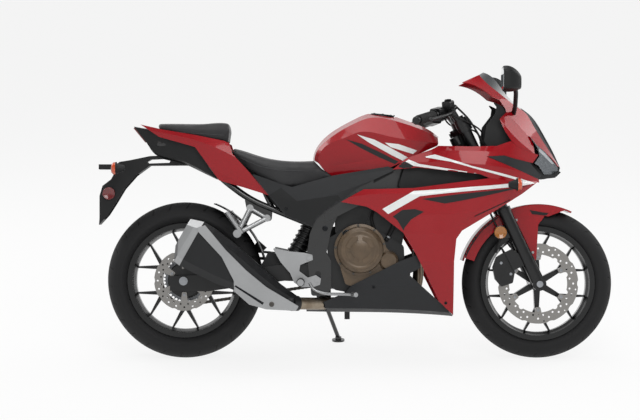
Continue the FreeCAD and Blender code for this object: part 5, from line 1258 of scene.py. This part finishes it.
class BIKE_OT_stage(Operator):
    """Set the floor, the lights and the camera"""
    bl_idname = "bike.stage"
    bl_label = "Stage"

    def execute(self, context):
        settings = context.scene.bike_stage
        half = 30.0
        corners = [(-half, -half, 0), (half, -half, 0), (half, half, 0), (-half, half, 0)]
        mesh = bpy.data.meshes.new("studio_floor")
        mesh.from_pydata(corners, [], [(0, 1, 2, 3)])
        floor = bpy.data.objects.new("studio_floor", mesh)
        context.scene.collection.objects.link(floor)
        colour = tuple(settings.floor)
        material, tree, shader = surface("painted_floor", colour, 0.8, 0.0, Specular_IOR_Level=0.1)
        own_place = add(tree, "ShaderNodeTexCoord").outputs["Object"]
        noise = add(tree, "ShaderNodeTexNoise", {"Scale": 3.0, "Detail": 3.0}, {"Vector": own_place})
        tone = add(
            tree, "ShaderNodeMapRange", {"To Min": 0.76, "To Max": 0.84}, {"Value": noise.outputs["Fac"]}
        )
        tree.links.new(tone.outputs["Result"], shader.inputs["Roughness"])
        white = add(tree, "ShaderNodeEmission", {"Color": (1, 1, 1, 1), "Strength": 1.0})
        part_of = {"operation": "MULTIPLY", 1: settings.backdrop}
        share = add(tree, "ShaderNodeMath", part_of, {0: background_rays(tree)})
        mix = add(
            tree, "ShaderNodeMixShader", {},
            {0: share.outputs["Value"], 1: shader.outputs["BSDF"], 2: white.outputs["Emission"]},
        )
        tree.links.new(mix.outputs["Shader"], tree.nodes["Material Output"].inputs["Surface"])
        mesh.materials.append(material)

        world = bpy.data.worlds.new("studio")
        context.scene.world = world
        world.use_nodes = True
        tree = world.node_tree
        aim = add(tree, "ShaderNodeTexCoord").outputs["Generated"]
        height = add(tree, "ShaderNodeSeparateXYZ", {}, {"Vector": aim})
        fade = add(
            tree, "ShaderNodeMapRange", {"From Min": 0.12, "From Max": 0.5, "To Min": 1.0, "To Max": 0.3},
            {"Value": height.outputs["Z"]},
        )
        dim = add(tree, "ShaderNodeBackground", {"Color": hex_colour("#F6F7F8"), "Strength": settings.sky})
        bright = add(
            tree, "ShaderNodeBackground", {"Color": (1, 1, 1, 1)}, {"Strength": fade.outputs["Result"]}
        )
        mix = add(
            tree, "ShaderNodeMixShader", {},
            {0: background_rays(tree), 1: dim.outputs["Background"], 2: bright.outputs["Background"]},
        )
        tree.links.new(mix.outputs["Shader"], tree.nodes["World Output"].inputs["Surface"])

        # Three soft lamps round the machine and one above it, all turned to its middle
        middle = row(640, 0, 560)
        for name, offset, power, width in (
            ("key_softbox", (0.6, -3.6, 3.4), 90.0, 2.6),
            ("top_softbox", (-0.4, 0.6, 4.2), 80.0, 3.6),
            ("rear_softbox", (-3.6, 2.2, 2.4), 40.0, 2.0),
            ("front_softbox", (3.8, 1.2, 2.2), 40.0, 2.0),
        ):
            light = bpy.data.lights.new(name, "AREA")
            light.energy, light.size = power, width
            lamp = bpy.data.objects.new(name, light)
            lamp.location = middle + Vector(offset)
            lamp.rotation_euler = (middle - lamp.location).to_track_quat("-Z", "Y").to_euler()
            context.scene.collection.objects.link(lamp)

        # The photograph looks straight at the right side, square to the leaning machine
        target = row(540, 0, 593)
        looking = row_direction(0, 1, 0)
        data = bpy.data.cameras.new("photographer")
        data.sensor_width, data.lens = 36.0, 111.9
        camera = bpy.data.objects.new("photographer", data)
        camera.location = target - looking * settings.distance
        camera.rotation_euler = looking.to_track_quat("-Z", "Y").to_euler()
        context.scene.collection.objects.link(camera)
        context.scene.camera = camera
        context.scene.view_settings.view_transform = "Standard"
        return {"FINISHED"}


class BIKE_PT_dressing(Panel):
    """Lists the dressing steps and their settings"""
    bl_label = "Motorcycle"
    bl_idname = "BIKE_PT_dressing"
    bl_space_type = "VIEW_3D"
    bl_region_type = "UI"
    bl_category = "Motorcycle"

    def draw(self, context):
        layout = self.layout
        for name, group in SETTINGS:
            box = layout.box()
            for key in group.__annotations__:
                box.prop(getattr(context.scene, name), key)
        for operator in OPERATORS:
            layout.operator(operator.bl_idname)


OPERATORS = (
    BIKE_OT_dress_nodes,
    BIKE_OT_tyres,
    BIKE_OT_chain,
    BIKE_OT_seats,
    BIKE_OT_paintwork,
    BIKE_OT_lamps,
    BIKE_OT_controls,
    BIKE_OT_fasteners,
    BIKE_OT_mechanical,
    BIKE_OT_stage,
)
SETTINGS = (
    ("bike_bodywork", BodyworkSettings),
    ("bike_running_gear", RunningGearSettings),
    ("bike_seats", SeatSettings),
    ("bike_stage", StageSettings),
)


def register():
    """Adds the settings, the operators and the panel."""
    for name, group in SETTINGS:
        bpy.utils.register_class(group)
        setattr(bpy.types.Scene, name, PointerProperty(type=group))
    for item in OPERATORS + (BIKE_PT_dressing,):
        bpy.utils.register_class(item)


def unregister():
    """Takes them away again, in the opposite order."""
    for item in reversed(OPERATORS + (BIKE_PT_dressing,)):
        bpy.utils.unregister_class(item)
    for name, group in reversed(SETTINGS):
        delattr(bpy.types.Scene, name)
        bpy.utils.unregister_class(group)


def main():
    """Dresses the machine step by step."""
    register()
    for operator in OPERATORS:
        group, step = operator.bl_idname.split(".")
        getattr(getattr(bpy.ops, group), step)()


if __name__ == "__main__":
    main()
